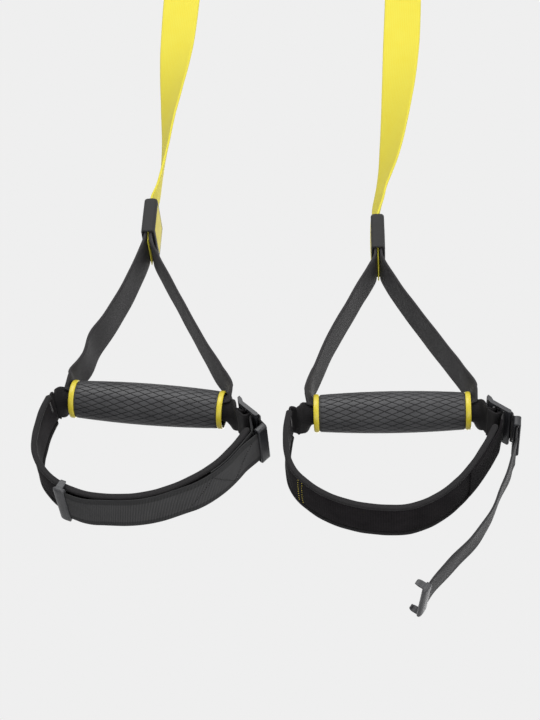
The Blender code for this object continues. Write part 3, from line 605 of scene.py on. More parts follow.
class Ribbon:
    """A flat woven strip: its piece and the sheet that stitches are laid on.

    A station is a place, the width direction, the hollow side, the half curl and, where they differ, the far
    half's curl and how much of the near half is missing.
    """

    def __init__(self, name, stations, width, thickness, look, spacing, world=None, columns=18, relief=None,
                 ripple=0.00008, evening=None):
        rows = []
        for spot, side, hollow, curl, *rest in stations:
            far, trim = [*(rest or [curl]), 0.0][:2]
            rows.append([*spot, *side, *hollow, curl, far, trim])
        rows = spline_rows(np.array(rows), spacing)
        if world:
            turn = np.array(world.to_3x3())
            for first in (0, 3, 6):
                rows[:, first:first + 3] = rows[:, first:first + 3] @ turn.T
            rows[:, 0:3] += np.array(world.translation)
        if evening:
            rows = even_out(rows, spacing, *evening)
        place, side, hollow = rows[:, 0:3], unit(rows[:, 3:6]), unit(rows[:, 6:9])
        near_curl, far_curl, trim = rows[:, 9:10], rows[:, 10:11], rows[:, 11:12]
        count = len(rows)
        self.along = travelled(place)
        self.half = (width - thickness) / 2
        self.across = np.linspace(-self.half, self.half, columns + 1)
        bend = np.maximum(np.where(self.across > 0, far_curl, near_curl), 1e-4) / (width / 2)
        turn = self.across * np.where(self.across < 0, 1 - trim, 1.0) * bend
        self.sheet = (place[:, None] + side[:, None] * (np.sin(turn) / bend)[..., None]
                      + hollow[:, None] * ((1 - np.cos(turn)) / bend)[..., None])
        run, over = np.gradient(self.sheet, axis=(0, 1))
        self.normal = unit(np.cross(over, run))
        length, breadth = np.meshgrid(self.along, self.across, indexing="ij")
        waves = np.sin(length * 173.0 + breadth * 61.0) + np.sin(length * 71.0 - breadth * 137.0 + 1.3)
        self.sheet = self.sheet + self.normal * (ripple * waves / 2)[..., None]
        self.top, under = (thickness / 2 + (relief(length, breadth, face) if relief else 0.0 * length)
                           for face in (1, -1))

        section = [(j, 0) for j in range(columns + 1)] + [(columns, angle) for angle in (45, 90, 135)]
        section += [(j, 180) for j in range(columns, -1, -1)] + [(0, angle) for angle in (135, 90, 45)]
        around = len(section)
        edge = unit(over)
        ring, cloth, raised = [], [], []
        for j, angle in section:
            up, out = cos(radians(angle)), sin(radians(angle)) * (thickness / 2 if j else -thickness / 2)
            lift = (self.top if up > 0 else under)[:, j]
            ring.append(self.sheet[:, j] + self.normal[:, j] * (up * lift)[:, None] + edge[:, j] * out)
            cloth.append(np.stack([self.along, np.full(count, self.across[j] + out), np.full(count, up)], 1))
            raised.append((lift - thickness / 2) / relief_unit)
        i, j = np.meshgrid(np.arange(count - 1), np.arange(around), indexing="ij")
        low, nxt = i * around, (j + 1) % around
        high = low + around
        quads = np.stack([low + j, low + nxt, high + nxt, high + j], -1)
        faces = [tuple(int(v) for v in quad) for quad in quads.reshape(-1, 4)]
        faces += self.cap(0, columns, around, -1) + self.cap((count - 1) * around, columns, around, 1)
        self.piece = new_object(name, np.stack(ring, 1).reshape(-1, 3), faces, look)
        write_attribute(self.piece.data, "cloth", np.stack(cloth, 1).reshape(-1, 3))
        write_attribute(self.piece.data, "relief", np.stack(raised, 1).ravel())

    @staticmethod
    def cap(first, columns, around, winding):
        """The faces that close one end."""
        polygons = [(j, j + 1, 2 * columns + 3 - j, 2 * columns + 4 - j) for j in range(columns)]
        polygons += [(*range(columns, columns + 5),), (*range(2 * columns + 4, around), 0)]
        return [tuple(first + v for v in polygon[::winding]) for polygon in polygons]

    def at(self, along, across, lift, face):
        """A point of a face and the normal there."""
        i = min(max(np.searchsorted(self.along, along) - 1, 0), len(self.along) - 2)
        share = (along - self.along[i]) / max(self.along[i + 1] - self.along[i], 1e-9)
        share = min(max(share, 0.0), 1.0)
        spot = min(max((across + self.half) / (2 * self.half), 0.0), 1.0) * (len(self.across) - 1)
        j = min(int(spot), len(self.across) - 2)
        rest = spot - j

        def read(grid):
            low, high = (grid[k, j] * (1 - rest) + grid[k, j + 1] * rest for k in (i, i + 1))
            return low * (1 - share) + high * share

        normal = Vector(read(self.normal)).normalized() * face
        return Vector(read(self.sheet)) + normal * (float(read(self.top)) + lift), normal


def stitches(side, name, body, ribbon, seams, look, pitch=0.0026, share=0.68, radius=0.00024, face=1,
             lift=0.0):
    """Sewn rows: each seam is a list of (along, across) corners; every stitch is a small bead of thread."""
    verts, faces = [], []
    for seam in seams:
        for (a0, b0), (a1, b1) in zip(seam, seam[1:]):
            count = max(1, round(((a1 - a0) ** 2 + (b1 - b0) ** 2) ** 0.5 / pitch))
            for k in range(count):
                bead = []
                for step in range(6):
                    t = (k + 0.5 + share * (step / 5 - 0.5)) / count
                    spot, normal = ribbon.at(a0 + (a1 - a0) * t, b0 + (b1 - b0) * t, lift, face)
                    bead.append((spot, normal, sin(pi * step / 5)))
                add_bead(verts, faces, bead, radius)
    settle(new_object(f"{side}_{name}", verts, faces, look), side, body, "black_webbing")


def add_bead(verts, faces, bead, radius, around=6):
    first = len(verts)
    last = len(bead) - 1
    for k, (spot, normal, swell) in enumerate(bead):
        ahead = bead[min(k + 1, last)][0] - bead[max(k - 1, 0)][0]
        across = ahead.cross(normal).normalized()
        size = radius * (0.35 + 0.65 * swell)
        centre = spot + normal * (radius * (0.9 * swell - 0.45))
        for turn in range(around):
            angle = 2 * pi * turn / around
            verts.append(centre + across * (size * cos(angle)) + normal * (size * sin(angle)))
    for low in range(first, first + last * around, around):
        for turn in range(around):
            nxt = (turn + 1) % around
            faces.append((low + turn, low + around + turn, low + around + nxt, low + nxt))
    faces.append(tuple(range(first, first + around)))
    faces.append(tuple(range(first + last * around, first + (last + 1) * around))[::-1])


def rounded_ring(half_x, half_y, corner, corner_steps=5, long_steps=10, short_steps=3):
    """Points of a rounded rectangle in XY, in order, with its long sides along Y."""
    corner = min(corner, half_x, half_y)
    arcs = []
    for sx, sy, angle in ((1, 1, 0), (-1, 1, 90), (-1, -1, 180), (1, -1, 270)):
        turns = [radians(angle + 90 * k / corner_steps) for k in range(corner_steps + 1)]
        x, y = sx * (half_x - corner), sy * (half_y - corner)
        arcs.append([(x + corner * cos(turn), y + corner * sin(turn)) for turn in turns])
    points = []
    for k, arc in enumerate(arcs):
        points += arc
        (x0, y0), (x1, y1) = arc[-1], arcs[(k + 1) % 4][0]
        steps = long_steps if k % 2 else short_steps
        for step in range(1, steps):
            points.append((x0 + (x1 - x0) * step / steps, y0 + (y1 - y0) * step / steps))
    return points


def level_ring(half_x, half_y, corner, z):
    return [(x, y, z) for x, y in rounded_ring(half_x, half_y, corner)]


def loft(name, rings, look, closed=False, world=None):
    """A skin through rings of equal count; the ends are capped unless the loft is closed on itself."""
    verts = [world @ Vector(point) if world else Vector(point) for ring in rings for point in ring]
    around, count = len(rings[0]), len(rings)
    faces = []
    for i in range(count if closed else count - 1):
        low, high = i * around, (i + 1) % count * around
        for j in range(around):
            nxt = (j + 1) % around
            faces.append((low + j, low + nxt, high + nxt, high + j))
    if not closed:
        faces += [tuple(range(around))[::-1], tuple(range((count - 1) * around, count * around))]
    made = new_object(name, verts, faces, look)
    rework(made.data, face_outward)
    return made


def lathe(name, profile, steps, look, world):
    """A closed profile of (x, radius) turned round the X axis."""
    rings = []
    for step in range(steps):
        angle = 2 * pi * step / steps
        rings.append([(x, radius * sin(angle), radius * cos(angle)) for x, radius in profile])
    return loft(name, rings, look, closed=True, world=world)


def rounding(angle, size):
    """How far a rounded edge of this size has come in and down at an angle from its rim."""
    return size * (1 - sin(radians(angle))), size * (1 - cos(radians(angle)))


# Materials


def add(tree, kind, inputs=None, **settings):
    made = tree.nodes.new("ShaderNode" + kind)
    for key, value in settings.items():
        setattr(made, key, value)
    for key, value in (inputs or {}).items():
        socket = made.inputs[key]
        if isinstance(value, bpy.types.NodeSocket):
            tree.links.new(value, socket)
        else:
            socket.default_value = value
    return made


def math(tree, operation, *values):
    return add(tree, "Math", dict(enumerate(values)), operation=operation).outputs[0]


def noise(tree, vector, scale, detail):
    return add(tree, "TexNoise", {"Vector": vector, "Scale": scale, "Detail": detail}).outputs["Fac"]


def stored(tree, name, output="Fac"):
    """What the mesh stores for each vertex under this name."""
    return add(tree, "Attribute", attribute_name=name).outputs[output]


def own_place(tree):
    return add(tree, "TexCoord").outputs["Object"]


def ramp(tree, value, low, dark, high, light):
    """From the dark colour at low to the light one at high."""
    made = add(tree, "ValToRGB", {"Fac": value})
    for element, place, colour in zip(made.color_ramp.elements, (low, high), (dark, light)):
        element.position = place
        element.color = (*colour, 1.0)
    return made.outputs["Color"]


def wave(tree, value, pitch):
    """From 0 to 1 and back over each pitch."""
    turned = math(tree, "MULTIPLY_ADD", value, 2 * pi / pitch, 0.0)
    return math(tree, "MULTIPLY_ADD", math(tree, "SINE", turned), 0.5, 0.5)


def make_material(name, roughness, metallic=0.0, sheen=0.0, coat=0.0, specular=0.5):
    material = bpy.data.materials.new(name)
    material.use_nodes = True
    shader = material.node_tree.nodes["Principled BSDF"]
    values = {"Roughness": roughness, "Metallic": metallic, "Specular IOR Level": specular,
              "Sheen Weight": sheen, "Sheen Roughness": 0.45, "Coat Weight": coat}
    for key, value in values.items():
        shader.inputs[key].default_value = value
    return material, material.node_tree, shader


def finish(tree, shader, colour, height=None, distance=0.0002, strength=0.6, rough=None):
    tree.links.new(colour, shader.inputs["Base Color"])
    if height is not None:
        bump = add(tree, "Bump", {"Height": height, "Distance": distance, "Strength": strength})
        tree.links.new(bump.outputs["Normal"], shader.inputs["Normal"])
    if rough is not None:
        tree.links.new(rough, shader.inputs["Roughness"])


def cloth_axes(tree):
    """The cloth's own coordinates, and those along and across it alone."""
    vector = stored(tree, "cloth", "Vector")
    split = add(tree, "SeparateXYZ", {0: vector})
    return vector, split.outputs[0], split.outputs[1]


def webbing(name, dark, light, rib, warp, slant=0.0, rib_share=0.6, painted_edge_light=0.0, roughness=0.8,
            bump=0.00016, sheen=0.06, follow=0.0, contrast=0.65, edge_width=0.0022):
    """Woven webbing: cross ribs, warp ends, uneven yarns, and painted light and shade along the selvedges.
    """
    material, tree, shader = make_material(name, roughness, sheen=sheen, specular=0.3)
    vector, along, across = cloth_axes(tree)
    leaned = math(tree, "MULTIPLY_ADD", across, slant, along)
    fuzz = noise(tree, vector, 900.0, 3.0)
    ribs = wave(tree, math(tree, "MULTIPLY_ADD", fuzz, rib * 0.5, leaned), rib)
    ends = wave(tree, across, warp)
    weave = math(tree, "MULTIPLY", math(tree, "MULTIPLY_ADD", ribs, rib_share, 1 - rib_share),
                 math(tree, "MULTIPLY_ADD", ends, 1 - rib_share, rib_share))
    patches = noise(tree, vector, 55.0, 4.0)
    tone = math(tree, "MULTIPLY_ADD", weave, contrast, (0.65 - contrast) * 0.6)
    tone = math(tree, "MULTIPLY_ADD", patches, 0.35, tone)
    # A band along each selvedge: painted light where the edge value is above 0, painted shade where it is
    # below.
    rim = math(tree, "GREATER_THAN", math(tree, "ABSOLUTE", across), strap_width / 2 - edge_width)
    tone = math(tree, "ADD", tone, math(tree, "MULTIPLY", rim, painted_edge_light))
    # The tone follows the stored relief: painted shade in its dips and painted light on its ridges.
    if follow:
        tone = math(tree, "MULTIPLY_ADD", stored(tree, "relief"), follow, tone)
    height = math(tree, "MULTIPLY_ADD", fuzz, 0.25, weave)
    finish(tree, shader, ramp(tree, tone, 0.12, dark, 0.72, light), height, bump, 0.8)
    return material


def pile(name, dark, light):
    """Short brushed loops: soft, uneven and nearly without gloss."""
    material, tree, shader = make_material(name, 0.95, sheen=0.02, specular=0.10)
    vector, along = cloth_axes(tree)[:2]
    loops = add(tree, "TexVoronoi", {"Vector": vector, "Scale": 1500.0}).outputs["Distance"]
    fuzz = noise(tree, vector, 700.0, 5.0)
    combed = noise(tree, vector, 70.0, 3.0)
    ribs = wave(tree, math(tree, "MULTIPLY_ADD", fuzz, 0.0006, along), 0.0021)
    tone = math(tree, "MULTIPLY_ADD", combed, 0.4, math(tree, "MULTIPLY", fuzz, 0.45))
    tone = math(tree, "MULTIPLY_ADD", ribs, 0.12, tone)
    height = math(tree, "MULTIPLY_ADD", loops, 0.6, fuzz)
    finish(tree, shader, ramp(tree, tone, 0.25, dark, 0.75, light), height, 0.00012)
    return material


def moulded(name, dark, light, roughness, grain=1800.0, bump=0.00004, coat=0.0, specular=0.5):
    """Moulded plastic or rubber: fine grain, faint clouding, lighter edges and painted shade in hollows."""
    material, tree, shader = make_material(name, roughness, coat=coat, specular=specular)
    place = own_place(tree)
    grains = noise(tree, place, grain, 2.0)
    clouds = noise(tree, place, 30.0, 5.0)
    # Pointiness makes sharp edges lighter and paints shade into hollows and creases.
    edge_tone_and_hollow_shade = add(tree, "NewGeometry").outputs["Pointiness"]
    edge_tone_and_hollow_shade = math(tree, "MULTIPLY", math(tree, "SUBTRACT", edge_tone_and_hollow_shade, 0.5), 3.0)
    tone = math(tree, "MULTIPLY_ADD", grains, 0.25, math(tree, "MULTIPLY", clouds, 0.75))
    tone = math(tree, "ADD", tone, edge_tone_and_hollow_shade)
    rough = math(tree, "MULTIPLY_ADD", clouds, 0.16, roughness - 0.08)
    finish(tree, shader, ramp(tree, tone, 0.3, dark, 0.75, light), grains, bump, 0.5, rough)
    return material


def grip_rubber(name, dark, light, groove_shade):
    """Satin rubber with painted shade in its grooves."""
    material, tree, shader = make_material(name, 0.5)
    place = own_place(tree)
    grains = noise(tree, place, 2300.0, 2.0)
    clouds = noise(tree, place, 42.0, 5.0)
    tone = math(tree, "MULTIPLY_ADD", grains, 0.3, math(tree, "MULTIPLY", clouds, 0.7))
    skin = ramp(tree, tone, 0.3, dark, 0.72, light)
    # Painted shade: the grooves take the dark colour by their depth.
    mixed = add(tree, "Mix", {0: stored(tree, "groove"), 6: skin, 7: (*groove_shade, 1.0)}, data_type="RGBA")
    rough = math(tree, "MULTIPLY_ADD", clouds, 0.18, 0.42)
    finish(tree, shader, mixed.outputs[2], grains, 0.00004, 0.5, rough)
    return material


def brushed(name, dark, light, roughness):
    """Polished steel with fine drawing lines and faint smears."""
    material, tree, shader = make_material(name, roughness, metallic=1.0)
    place = own_place(tree)
    long_lines = add(tree, "Mapping", {"Vector": place, "Scale": (2600.0, 2600.0, 120.0)}).outputs[0]
    lines = noise(tree, long_lines, 1.0, 2.0)
    smears = noise(tree, place, 60.0, 4.0)
    tone = math(tree, "MULTIPLY_ADD", lines, 0.4, math(tree, "MULTIPLY", smears, 0.6))
    rough = math(tree, "MULTIPLY_ADD", smears, 0.2, roughness - 0.1)
    finish(tree, shader, ramp(tree, tone, 0.3, dark, 0.7, light), lines, 0.00002, 0.4, rough)
    return material


def thread(name, dark, light):
    """Twisted sewing thread."""
    material, tree, shader = make_material(name, 0.55, sheen=0.2, specular=0.4)
    strands = noise(tree, own_place(tree), 2600.0, 2.0)
    finish(tree, shader, ramp(tree, strands, 0.3, dark, 0.7, light), strands, 0.00008)
    return material


looks = {
    "yellow": webbing("yellow_webbing", (0.98, 0.79, 0.034), (1.0, 0.90, 0.10), 0.0010, 0.0019, slant=0.5,
                      rib_share=0.45, roughness=0.78, sheen=0.1),
    # The leg and cradle webbing get painted light along their selvedges, the tail painted shade along its
    # edges.
    "leg": webbing("leg_webbing", (0.010, 0.0095, 0.0105), (0.044, 0.042, 0.044), 0.0014, 0.0024, slant=0.8,
                   painted_edge_light=0.18),
    "loop": webbing("cradle_webbing", (0.004, 0.0036, 0.0042), (0.019, 0.0175, 0.019), weave_pitch, 0.0021,
                    slant=0.5, painted_edge_light=0.12),
    # The tail's tone follows its relief: painted shade in the dips, painted light on the ridges.
    "tail": webbing("tail_webbing", (0.026, 0.026, 0.027), (0.082, 0.081, 0.083), weave_pitch, 0.0018,
                    slant=0.6, painted_edge_light=-0.30, bump=0.00004, follow=0.15, contrast=0.25,
                    edge_width=0.0065),
    "binding": webbing("binding_tape", (0.006, 0.0056, 0.0062), (0.024, 0.0225, 0.024), 0.0010, 0.0012,
                       rib_share=0.85),
    "pile": pile("band_pile", (0.0045, 0.0040, 0.0047), (0.030, 0.0265, 0.029)),
    "sleeve": moulded("sleeve_rubber", (0.0105, 0.0105, 0.011), (0.026, 0.0255, 0.026), 0.72, 1400.0,
                      0.00010),
    # The grip's third colour is painted shade for its grooves.
    "grip": grip_rubber("grip_rubber", (0.038, 0.038, 0.0405), (0.090, 0.090, 0.0945),
                        (0.006, 0.006, 0.0065)),
    "ring": moulded("ring_plastic", (0.74, 0.58, 0.030), (0.92, 0.77, 0.065), 0.36, 900.0, 0.00002,
                    coat=0.2),
    "plastic": moulded("dark_plastic", (0.009, 0.0095, 0.0115), (0.032, 0.033, 0.037), 0.38, 1500.0),
    "core": moulded("core_plastic", (0.006, 0.006, 0.0065), (0.018, 0.018, 0.019), 0.75, specular=0.2),
    # The tail clip's plastic is set lighter than the dark plastic: partly its own dark grey, partly painted
    # light for the light its glossy face catches.
    "clip": moulded("clip_plastic_painted_light", (0.030, 0.031, 0.034), (0.084, 0.084, 0.089), 0.44, 1500.0),
    "panel": webbing("panel_cloth", (0.82, 0.66, 0.055), (1.0, 0.88, 0.19), 0.0009, 0.0009, rib_share=0.5,
                     roughness=0.7, sheen=0.1),
    "steel": brushed("steel", (0.42, 0.42, 0.44), (0.66, 0.66, 0.68), 0.30),
    "yellow_thread": thread("yellow_thread", (0.70, 0.54, 0.03), (0.95, 0.80, 0.10)),
    "grey_thread": thread("grey_thread", (0.10, 0.10, 0.10), (0.26, 0.25, 0.25)),
    "dark_thread": thread("dark_thread", (0.004, 0.004, 0.004), (0.014, 0.013, 0.014)),
    "black_thread": thread("black_thread", (0.020, 0.020, 0.021), (0.070, 0.068, 0.070)),
}


def finish_node(name, look, edge=0.0):
    """A CAD node that stays: its material, and a small rounding of its edges."""
    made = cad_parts[name]
    made.data.materials.clear()
    made.data.materials.append(looks[look])
    if edge:
        bevel = made.modifiers.new("rounding", "BEVEL")
        bevel.width = edge
        bevel.segments = 3
        bevel.limit_method = "ANGLE"
        bevel.angle_limit = radians(35)
        bevel.harden_normals = False


# Strap, sleeve and handle webbing


def eased_twist(stations, extra):
    """The same strap, taking up its twist a little sooner above the sleeve."""
    begins_over, ends_at, ends_over = 0.012, 0.16, 0.12
    hand = 1 if stations[0][1].cross(stations[len(stations) // 3][1]).z > 0 else -1
    eased = []
    for spot, side, hollow, curl in stations:
        height = spot.z - stations[0][0].z
        share = min(height / begins_over, 1.0) * min(max((ends_at - height) / ends_over, 0.0), 1.0)
        turn = Matrix.Rotation(hand * extra * share, 3, "Z")
        eased.append((spot, turn @ side, turn @ hollow, curl))
    return eased


def load_strap(side, place, sleeve):
    """The yellow strap with its folded end in the sleeve, one piece with a fixed bend at the sleeve's hinge.
    """
    stations = eased_twist(strap_stations(place), radians(details[side]["early_twist"]))
    low = -sleeve_height - strap_end_below
    press, press_run = 0.27, 0.018
    across = sleeve.to_3x3() @ width_way
    inside = []
    for share, trim in ((1.0, 0.30), (0.8, 0.12), (0.55, 0.0), (0.3, 0.0), (0.12, 0.0), (0.0, 0.0)):
        inside.append((sleeve @ Vector((0, 0, low * share)), across, width_way, 0.0, 0.0, trim))

    def pressed(length, breadth, face):
        """The fold is pressed thin over its first stretch."""
        return -press * strap_thickness * np.clip(1 - length / press_run, 0.0, 1.0)

    strap = Ribbon(side + "_load_strap", inside + stations, strap_width, strap_thickness, "yellow", 0.0022,
                   columns=16, relief=pressed)
    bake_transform(strap.piece)
    settle(strap.piece, side, None, "strap_webbing", "main_strap", "strap_end")
    seam_starts, seam_ends, half = 0.026, 0.003, 0.014
    low, high = strap.along[-1] - seam_starts, strap.along[-1] - seam_ends
    corners = [(low, -half), (high, -half), (high, half), (low, half)]
    seams = [corners + corners[:1], corners[::2], corners[::-2]]
    stitches(side, "strap_seam", "strap", strap, seams, "black_thread")
    stitches(side, "strap_seam_back", "strap", strap, seams, "black_thread", face=-1)


def face_swell(share, y):
    """How far the sleeve's wide faces swell, at a share of its height and a place across."""
    return sleeve_swell * (0.35 + 0.65 * sin(pi * share)) * max(0.0, 1 - (y / (sleeve_depth / 2)) ** 2)


def sleeve_case(side, sleeve):
    """The sleeve: a moulded case with swelling faces, a slot on top and an open mouth."""
    half_y = sleeve_depth / 2
    edge, least_corner, lip = 0.0030, 0.0016, 0.0012
    wall_steps = 8
    rings = []

    def ring(a, b, corner, z, swelling=0.0, share=0.0):
        points = []
        for x, y in rounded_ring(a, b, corner):
            if abs(x) > a * 0.8:
                x += swelling * face_swell(share, y) * (1 if x > 0 else -1)
            points.append((x, y, z))
        rings.append(points)

    slot_x, slot_y = strap_thickness / 2 + gap, cavity_depth / 2
    ring(slot_x, slot_y, gap, -sleeve_roof)
    ring(slot_x, slot_y, gap, -0.0004)
    ring(slot_x + 0.0006, slot_y + 0.0004, 0.0008, 0.0)
    for angle in range(0, 91, 15):
        inset, drop = rounding(angle, edge)
        ring(sleeve_face - inset * 0.8, half_y - inset, max(least_corner, edge - inset * 0.5), -drop,
             sin(radians(angle)))
    for step in range(1, wall_steps):
        share = step / wall_steps
        ring(sleeve_face, half_y, edge, -edge - (sleeve_height - edge * 1.6) * share, 1.0, share)
    for step in range(5):
        rise, inset = rounding(22.5 * step, lip)
        ring(sleeve_face - inset, half_y - inset, edge, -sleeve_height + rise, cos(radians(22.5 * step)))
    mouth = -sleeve_height
    for spread, corner, z in ((0.0002, 0.0014, mouth + 0.0002), (0.0, 0.0012, mouth + 0.0012),
                              (0.0, 0.0012, -sleeve_roof - 0.0008), (-0.0006, 0.0008, -sleeve_roof)):
        ring(cavity_thickness / 2 + spread, cavity_depth / 2 + spread, corner, z)
    case = loft(side + "_sleeve_case", rings, "sleeve", closed=True, world=sleeve)
    settle(case, side, "handle", "moulded_rubber", "strap_sleeve")


def sleeve_panel(side, hand, sleeve):
    """The panel follows the sleeve's swelling face, with a puffed middle and a tucked rim."""
    count = 28
    sunk, thin = 0.00035, 0.0003
    pinch, plump, crown = 0.045, 0.00055, 0.0003
    spread = [k / count * 2 - 1 for k in range(count + 1)]
    verts, faces, cloth = [], [], []
    for layer in (1, -1):
        for v in spread:
            for u in spread:
                squeeze = 1 - pinch * (u * u) * (v * v)
                y, z = u * panel_depth / 2 * squeeze, v * panel_height / 2 * squeeze
                puff = plump * (1 - max(abs(u), abs(v)) ** 8) + crown * (1 - u * u) * (1 - v * v)
                x = sleeve_face + face_swell(0.5 + z / sleeve_height, y) - sunk
                x += puff if layer > 0 else -thin
                verts.append(sleeve @ Vector((hand * x, y, z - sleeve_height / 2)))
                cloth.append((z, y, layer))
    width = count + 1
    base = width * width
    for i in range(count):
        for a in range(i * width, i * width + count):
            faces.append((a, a + 1, a + width + 1, a + width))
            faces.append((base + a, base + a + width, base + a + width + 1, base + a + 1))
    border = [*range(count), *range(count, base - 1, width), *range(base - 1, base - width, -1),
              *range(base - width, 0, -width)]
    for a, b in zip(border, border[1:] + border[:1]):
        faces.append((b, a, base + a, base + b))
    panel = new_object(side + "_panel_cloth", verts, faces, "panel")
    rework(panel.data, face_outward)
    write_attribute(panel.data, "cloth", cloth)
    settle(panel, side, "handle", "panel_fabric", "sleeve_panel")


def eased_leg(stations, grip_x, hand, rows):
    """One leg of the handle's webbing, moved and turned a little where it opens out above the grip."""
    heights, moves, turns = zip(*rows)
    depths = [-height for height in heights]
    eased = []
    for spot, side, hollow, curl in stations:
        if (spot.x - grip_x) * hand > 0 and heights[-1] < spot.z < heights[0]:
            move = float(np.interp(-spot.z, depths, moves))
            turn = radians(float(np.interp(-spot.z, depths, turns)))
            wider = Matrix.Rotation(-turn if side.x * side.y > 0 else turn, 3, "Z")
            spot, side, hollow = spot + Vector((move, 0, 0)), wider @ side, wider @ hollow
        eased.append((spot, side, hollow, curl))
    return eased


def handle_strap(side, place, sleeve, grip_frame):
    """The handle's webbing: its two legs and the stretch through the grip."""
    stations = handle_stations(place, sleeve, grip_frame)
    for hand, rows in details[side]["leg_easing"].items():
        stations = eased_leg(stations, place["grip_x"], hand, rows)
    legs = Ribbon(side + "_handle_strap", stations, strap_width, leg_thickness, "leg", 0.0013,
                  ripple=0.00018, evening=details[side]["leg_evening"])
    settle(legs.piece, side, "handle", "black_webbing", "handle_webbing")


# Grip


def diamond_skin():
    """Raised diamonds between crossing helical grooves, on past both ends of the rubber."""
    pitch = 2 * half_rubber / diamonds_along
    shares = (0.0, 0.030, 0.070, 0.16, 0.5, 0.84, 0.93, 0.970)
    depths = (-0.00065, -0.00060, -0.00005, 0.0, 0.00004, 0.0, -0.00005, -0.00060)
    steps = len(shares)
    span = int(diamonds_along) + 4
    verts, index, faces, grooves = [], {}, [], []

    def corner(u, v):
        if (u, v) not in index:
            (whole_u, part_u), (whole_v, part_v) = divmod(u, steps), divmod(v, steps)
            real_u, real_v = whole_u + shares[part_u], whole_v + shares[part_v]
            x = (real_u + real_v) / 2 * pitch
            angle = pi * (real_u - real_v) / diamonds_round
            share = x / half_rubber
            sunk = min(depths[part_u], depths[part_v])
            rim = 0.0007 * max(0.0, (abs(share) - 0.985) / 0.015) ** 2
            radius = grip_mid_radius - (grip_mid_radius - grip_end_radius) * share * share + sunk - rim
            grooves.append(min(1.0, max(0.0, sunk / min(depths))))
            index[u, v] = len(verts)
            verts.append((x, radius * cos(angle), radius * sin(angle)))
        return index[u, v]

    for whole_u in range(diamonds_round):
        for whole_v in range(-span - whole_u, span - whole_u):
            if abs((whole_u + whole_v + 1) / 2 * pitch) > half_rubber + pitch:
                continue
            for u in range(whole_u * steps, (whole_u + 1) * steps):
                for v in range(whole_v * steps, (whole_v + 1) * steps):
                    faces.append((corner(u, v), corner(u + 1, v), corner(u + 1, v + 1), corner(u, v + 1)))
    return verts, faces, grooves


def trim_barrel(form):
    """Cut the skin at the rubber's ends and close it with flat ends and a bore."""
    bmesh.ops.remove_doubles(form, verts=form.verts, dist=0.00002)
    for hand in (-1, 1):
        bmesh.ops.bisect_plane(form, geom=form.verts[:] + form.edges[:] + form.faces[:], dist=0.000001,
                               plane_co=(hand * half_rubber, 0, 0), plane_no=(hand, 0, 0), clear_outer=True)
    rims = [edge for edge in form.edges if len(edge.link_faces) == 1]
    grown = bmesh.ops.extrude_edge_only(form, edges=rims)["geom"]
    for item in grown:
        if isinstance(item, bmesh.types.BMVert):
            flat = Vector((0, item.co.y, item.co.z)).normalized() * rubber_bore
            item.co = (item.co.x, flat.y, flat.z)
    bmesh.ops.bridge_loops(form, edges=[edge for edge in form.edges if len(edge.link_faces) == 1])
    face_outward(form)
    for face in form.faces:
        face.smooth = True
    sharpen(form, 50)


def grip_pieces(side, grip_frame):
    """The grip: a barrel of raised diamonds, two end rings and the tube."""
    verts, faces, grooves = diamond_skin()
    barrel = new_object(side + "_grip_barrel", verts, faces, "grip")
    write_attribute(barrel.data, "groove", grooves)
    rework(barrel.data, trim_barrel)
    barrel.matrix_world = grip_frame
    settle(barrel, side, "grip", "grip_rubber", "grip_rubber")

    start = half_rubber + hairline
    base, crest = rubber_bore + 0.0004, ring_radius + 0.0002
    profile = [(start, rubber_bore)]
    for step in range(9):
        angle = radians(180 - 22.5 * step)
        x = start + ring_width / 2 * (1 + cos(angle))
        profile.append((x, base + (crest - base) * max(sin(angle), 0.0) ** 0.6))
    profile.append((start + ring_width, rubber_bore))
    for name, hand in (("left", -1), ("right", 1)):
        turned = [(x * hand, radius) for x, radius in profile]
        ring = smooth_by_angle(lathe(f"{side}_end_ring_{name}", turned, 64, "ring", grip_frame), 50)
        settle(ring, side, "grip", "ring_plastic", "grip_ring_" + name)

    lip, end = 0.0007, half_grip - gap
    outside = [(-end, tube_outer - lip), (lip - end, tube_outer),
               (end - lip, tube_outer), (end, tube_outer - lip)]
    bore = [(end, tube_bore + lip), (end - lip, tube_bore),
            (lip - end, tube_bore), (-end, tube_bore + lip)]
    tube = smooth_by_angle(lathe(side + "_core_tube", outside + bore, 56, "core", grip_frame), 40)
    settle(tube, side, "grip", "black_plastic", "grip_tube")


# Foot cradle


def pad_relief(length, breadth, face):
    """A crowned pad with soft swells, puckered towards its edges."""
    rim = np.abs(breadth) / (pad_width / 2)
    puckers = 0.00014 * np.sin(length * 210.0 + 2.0 * np.sin(length * 37.0)) * rim ** 2
    swells = 0.00012 * np.sin(length * 95.0 + breadth * 120.0)
    return puckers + swells - 0.0007 * rim ** 4 - 0.00012


def padded_band(side, grip_frame, pad_path):
    """The padded band with its brushed face and a folded binding along each edge."""
    pad = Ribbon(side + "_padded_band", flat_stations(pad_path), pad_width, pad_thickness, "pile", 0.0014,
                 world=grip_frame, relief=pad_relief, ripple=0.0)
    settle(pad.piece, side, "cradle", "pad_fabric", "cradle_pad")
    edge = (pad_width + binding_width) / 2 + hairline
    path = curve_through(pad_path, 0.0016)
    section = rounded_ring(binding_thickness / 2, binding_width / 2, 0.0016, 5, 3, 5)
    for name, hand in (("near", -1), ("far", 1)):
        rings, cloth = [], []
        for spot, ahead, reached in zip(path, tangents(path), travelled(path)):
            shrink = 0.55 if spot in (path[0], path[-1]) else 1.0
            thick = shrink * (1 - 0.03 * (1 + sin(reached * 320.0 + hand)))
            ring = []
            for y, x in section:
                ring.append(spot + width_way * (x * shrink + hand * edge) + outward(ahead) * (y * thick))
                cloth.append((reached, x + y, 1.0))
            rings.append(ring)
        tape = loft(f"{side}_binding_tape_{name}", rings, "binding", world=grip_frame)
        write_attribute(tape.data, "cloth", cloth)
        settle(tape, side, "cradle", "black_webbing", "binding_" + name)
    return pad


